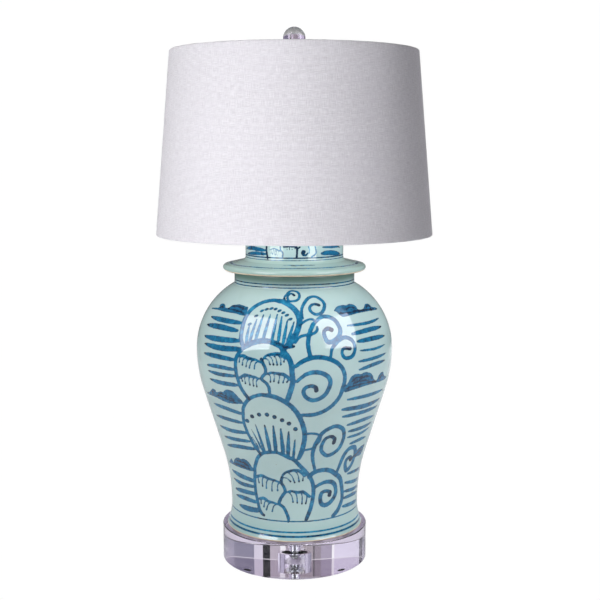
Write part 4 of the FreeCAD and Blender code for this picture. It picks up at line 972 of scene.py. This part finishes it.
def make_shade(material):
    """The cloth round the shade, rolled over both rings, its ends lapped at the back."""
    run = SHADE_HIGH[0] - SHADE_LOW[0]
    rise = SHADE_HIGH[1] - SHADE_LOW[1]
    slant = math.hypot(run, rise)

    def point(along, inward, *curve):
        return (SHADE_LOW[0] + (run * along - rise * inward) / slant,
                SHADE_LOW[1] + (rise * along + run * inward) / slant, *curve)

    roll = CLOTH + RING_WIRE
    around = roll + RING_WIRE
    fold = CLOTH + STYRENE
    top, tuck = slant - roll, slant - HEM
    face = trace([point(roll, 0.0), point(top, 0.0)], FACE_STEP)
    rim = trace([
        point(top, 0.0, roll), point(slant, roll, roll), point(top, around + CLOTH),
        point(tuck, fold + CLOTH), point(tuck, fold), point(top, around, -RING_WIRE),
        point(top + RING_WIRE, roll, -RING_WIRE), point(top, CLOTH)], ROLL_STEP)
    back = trace([point(top, CLOTH), point(roll, CLOTH)], BACK_STEP)
    hem = trace([
        point(roll, CLOTH, -RING_WIRE), point(CLOTH, roll, -RING_WIRE), point(roll, around),
        point(HEM, fold), point(HEM, fold + CLOTH), point(roll, around + CLOTH, roll),
        point(0.0, roll, roll), point(roll, 0.0)], ROLL_STEP)
    outline = face + rim[1:] + back[1:] + hem[1:-1]
    outer = len(face) + SEAM_ROWS

    def lap(azimuth, radius, height):
        off = np.abs((azimuth + 360) % 360 - 180)
        lift = SEAM_RISE * np.clip((SEAM_HALF - off) / SEAM_EDGE, 0, 1)
        lift[outer:] = 0
        return radius + lift, height

    cloth, *_ = turned_mesh("linen_shade", outline, SHADE_COLUMNS, lap)
    sharpen(cloth, 50.0)
    dress(cloth, material, "shade", "linen", "shade_cloth")
    return cloth


# ---------------------------------------------------------------------------------------------
# Floor, backdrop and cards, and the rest of the lamp
# ---------------------------------------------------------------------------------------------
def make_floor():
    """A pale level floor."""
    reach, cells = 3.4, 8
    steps = [reach * (2 * i / cells - 1) for i in range(cells + 1)]
    verts = [(x, y, 0.0) for y in steps for x in steps]
    rows = cells + 1
    faces = [(j * rows + i, j * rows + i + 1, (j + 1) * rows + i + 1, (j + 1) * rows + i)
             for j in range(cells) for i in range(cells)]
    mesh = bpy.data.meshes.new("floor")
    mesh.from_pydata(verts, [], faces)
    floor = bpy.data.objects.new("floor", mesh)
    bpy.context.scene.collection.objects.link(floor)
    look = Look("floor", Roughness=0.9)
    look.set("Base Color", look.mix(look.noise(look.place(), 3.0), rgb(206, 206, 208), rgb(214, 214, 214)))
    mesh.materials.append(look.material)


# What the clear base shows of the room behind it: a panel's first angle from straight back,
# degrees to the right, and its colour.
PANELS = ((-105, (176, 168, 192)), (-62, (92, 86, 102)), (-52, (224, 217, 237)),
          (-21.5, (250, 248, 252)), (-19.8, (168, 158, 178)), (-13.2, (150, 140, 152)),
          (-10.4, (104, 98, 106)), (-9.4, (168, 158, 166)), (1.2, (232, 226, 232)),
          (2.1, (164, 154, 164)), (3.5, (244, 242, 246)), (6.4, (184, 174, 186)),
          (11.2, (6, 6, 16)), (14.8, (216, 210, 224)), (21, (134, 130, 152)),
          (42, (160, 154, 176)), (70, (196, 190, 210)))
# Above SPLIT the panels dim, with a light line where they do; it bows up towards the sides.
SPLIT, SPLIT_LINE, SPLIT_BOW = 0.52, 0.0016, 0.03
PANEL_SPAN = 105.0


def make_card(name, verts, faces, seen_by, shade):
    """A glowing studio card that one kind of ray sees; shade gives its colour from the look."""
    mesh = bpy.data.meshes.new(name)
    mesh.from_pydata(verts, [], faces)
    card = bpy.data.objects.new(name, mesh)
    bpy.context.scene.collection.objects.link(card)
    for ray in ("camera", "diffuse", "glossy", "transmission", "shadow"):
        setattr(card, "visible_" + ray, ray == seen_by)
    look = Look(name, Emission_Strength=1.0, Specular_IOR_Level=0.0)
    look.shader.inputs["Base Color"].default_value = (0, 0, 0, 1)
    look.set("Emission Color", shade(look))
    mesh.materials.append(look.material)


def circle(radius, height, count):
    return [(radius * math.cos(a), radius * math.sin(a), height)
            for a in (2 * math.pi * i / count for i in range(count))]


def mottled(scale, first, last):
    """A card's colour: two near tones under a soft noise."""
    return lambda look: look.mix(look.noise(look.place(), scale), first, last)


def make_backdrop():
    """A white drum round the whole studio, for the camera alone."""
    wide, low, tall, sides = 3.0, 0.0002, 5.0, 96
    verts = circle(wide, low, sides) + circle(wide, tall, sides)
    faces = [tuple(range(sides))]
    faces += [(i, (i + 1) % sides, (i + 1) % sides + sides, i + sides) for i in range(sides)]
    make_card("backdrop", verts, faces, "camera", mottled(0.5, (1.0, 1.0, 1.0, 1), (1.01, 1.01, 1.01, 1)))


def make_glare(lamps):
    """A bright face on each softbox that only polished surfaces show."""
    for lamp in lamps:
        x, y = lamp.data.size / 2, lamp.data.size_y / 2
        corners = [lamp.matrix_world @ Vector((a, b, 0)) for a, b in ((-x, -y), (x, -y), (x, y), (-x, y))]
        make_card(f"glare_{lamp.name}", corners, [(0, 1, 2, 3)], "glossy",
                  mottled(1.0, (4.6, 4.2, 4.9, 1), (5.0, 4.6, 5.3, 1)))


def panels(look):
    """Upright panels of PANELS' colours, dimmer above the split."""
    across, depth, height = look.add("SeparateXYZ", {0: look.place()}).outputs
    angle = look.calc("ARCTAN2", across, depth)
    share = look.calc("MULTIPLY_ADD", angle, 0.5 / math.radians(PANEL_SPAN), 0.5)
    node = look.add("ValToRGB", {0: share})
    node.color_ramp.interpolation = "CONSTANT"
    stops = node.color_ramp.elements
    for i, (start, color) in enumerate(PANELS):
        place = (start / PANEL_SPAN + 1) / 2
        stop = stops[i] if i < 2 else stops.new(place)
        stop.position, stop.color = place, rgb(*color)
    bowed = look.calc("MULTIPLY_ADD", look.times(angle, angle), -SPLIT_BOW, height)
    above = look.ramp(bowed, SPLIT, SPLIT + SPLIT_LINE)
    color = look.mix(above, node.outputs[0], rgb(226, 220, 228), "MULTIPLY")
    gap = look.calc("ABSOLUTE", look.calc("SUBTRACT", bowed, SPLIT))
    line = look.ramp(gap, SPLIT_LINE, SPLIT_LINE / 2, 0.0, 0.75)
    return look.mix(line, color, rgb(232, 226, 234))


def under(look):
    """Streaks under the base, and arcs further out."""
    streak = look.noise(look.stretch(look.place(), 60.0, 9.0, 1.0), 1.0, 2.0)
    near = look.mix(look.ramp(streak, 0.35, 0.65), rgb(120, 112, 130), rgb(178, 170, 190))
    away = look.add("VectorMath", {0: look.place()}, operation="LENGTH").outputs["Value"]
    arcs = look.add("TexWave", {"Vector": look.place(), "Scale": 9.0, "Distortion": 2.5},
                    wave_type="RINGS", rings_direction="Z").outputs["Fac"]
    far = look.mix(look.ramp(arcs, 0.15, 0.5), rgb(150, 140, 160), rgb(214, 206, 222))
    return look.mix(look.ramp(away, 0.1, 0.112), near, far)


def make_cards():
    """An arc of panels behind the lamp and a disc under it, for the clear pieces alone."""
    reach, low, high, columns = 1.4, -0.3, 2.6, 72
    angles = [math.radians(PANEL_SPAN * (2 * i / columns - 1)) for i in range(columns + 1)]
    verts = [(reach * math.sin(a), reach * math.cos(a), z) for a in angles for z in (low, high)]
    faces = [(2 * i, 2 * i + 2, 2 * i + 3, 2 * i + 1) for i in range(columns)]
    make_card("strip_card", verts, faces, "transmission", panels)
    disc, level, sides = 2.6, 0.0006, 64
    make_card("under_card", circle(disc, level, sides), [tuple(range(sides))], "transmission", under)


def dress_nodes(looks):
    """Gives each carried-over node the material of its slot in the record."""
    for piece in frame["record"]["subparts"]:
        mesh = nodes[piece["node"]].data
        mesh.materials.clear()
        mesh.materials.append(looks[piece["material_slot"]])


make_camera()
lamps = make_lights()
softboxes = [lamps["left_softbox"], lamps["right_softbox"]]
strips = [lamps["left_strip"], lamps["right_strip"]]
make_floor()
make_backdrop()
make_cards()
make_glare(softboxes)
looks = make_materials()
dress_nodes(looks)
jar_painters = (paint_water, paint_islets, paint_scrolls, paint_mounds, paint_combs, paint_pines)
make_painted("painted_jar", jar_outline(), JAR_COLUMNS, jar_painters, JAR_BARE, "jar", looks["glaze"])
lid = make_painted("painted_lid", lid_outline(), LID_COLUMNS, (paint_lid,), LID_BARE, "jar_lid",
                   looks["glaze"])
shade = [make_shade(looks["linen"]), nodes["shade_liner"], nodes["shade_spider"]]
light_only(softboxes, shade, "EXCLUDE")
light_only([lamps["shade_key"]], shade, "INCLUDE")
light_only(strips, [lid], "INCLUDE")
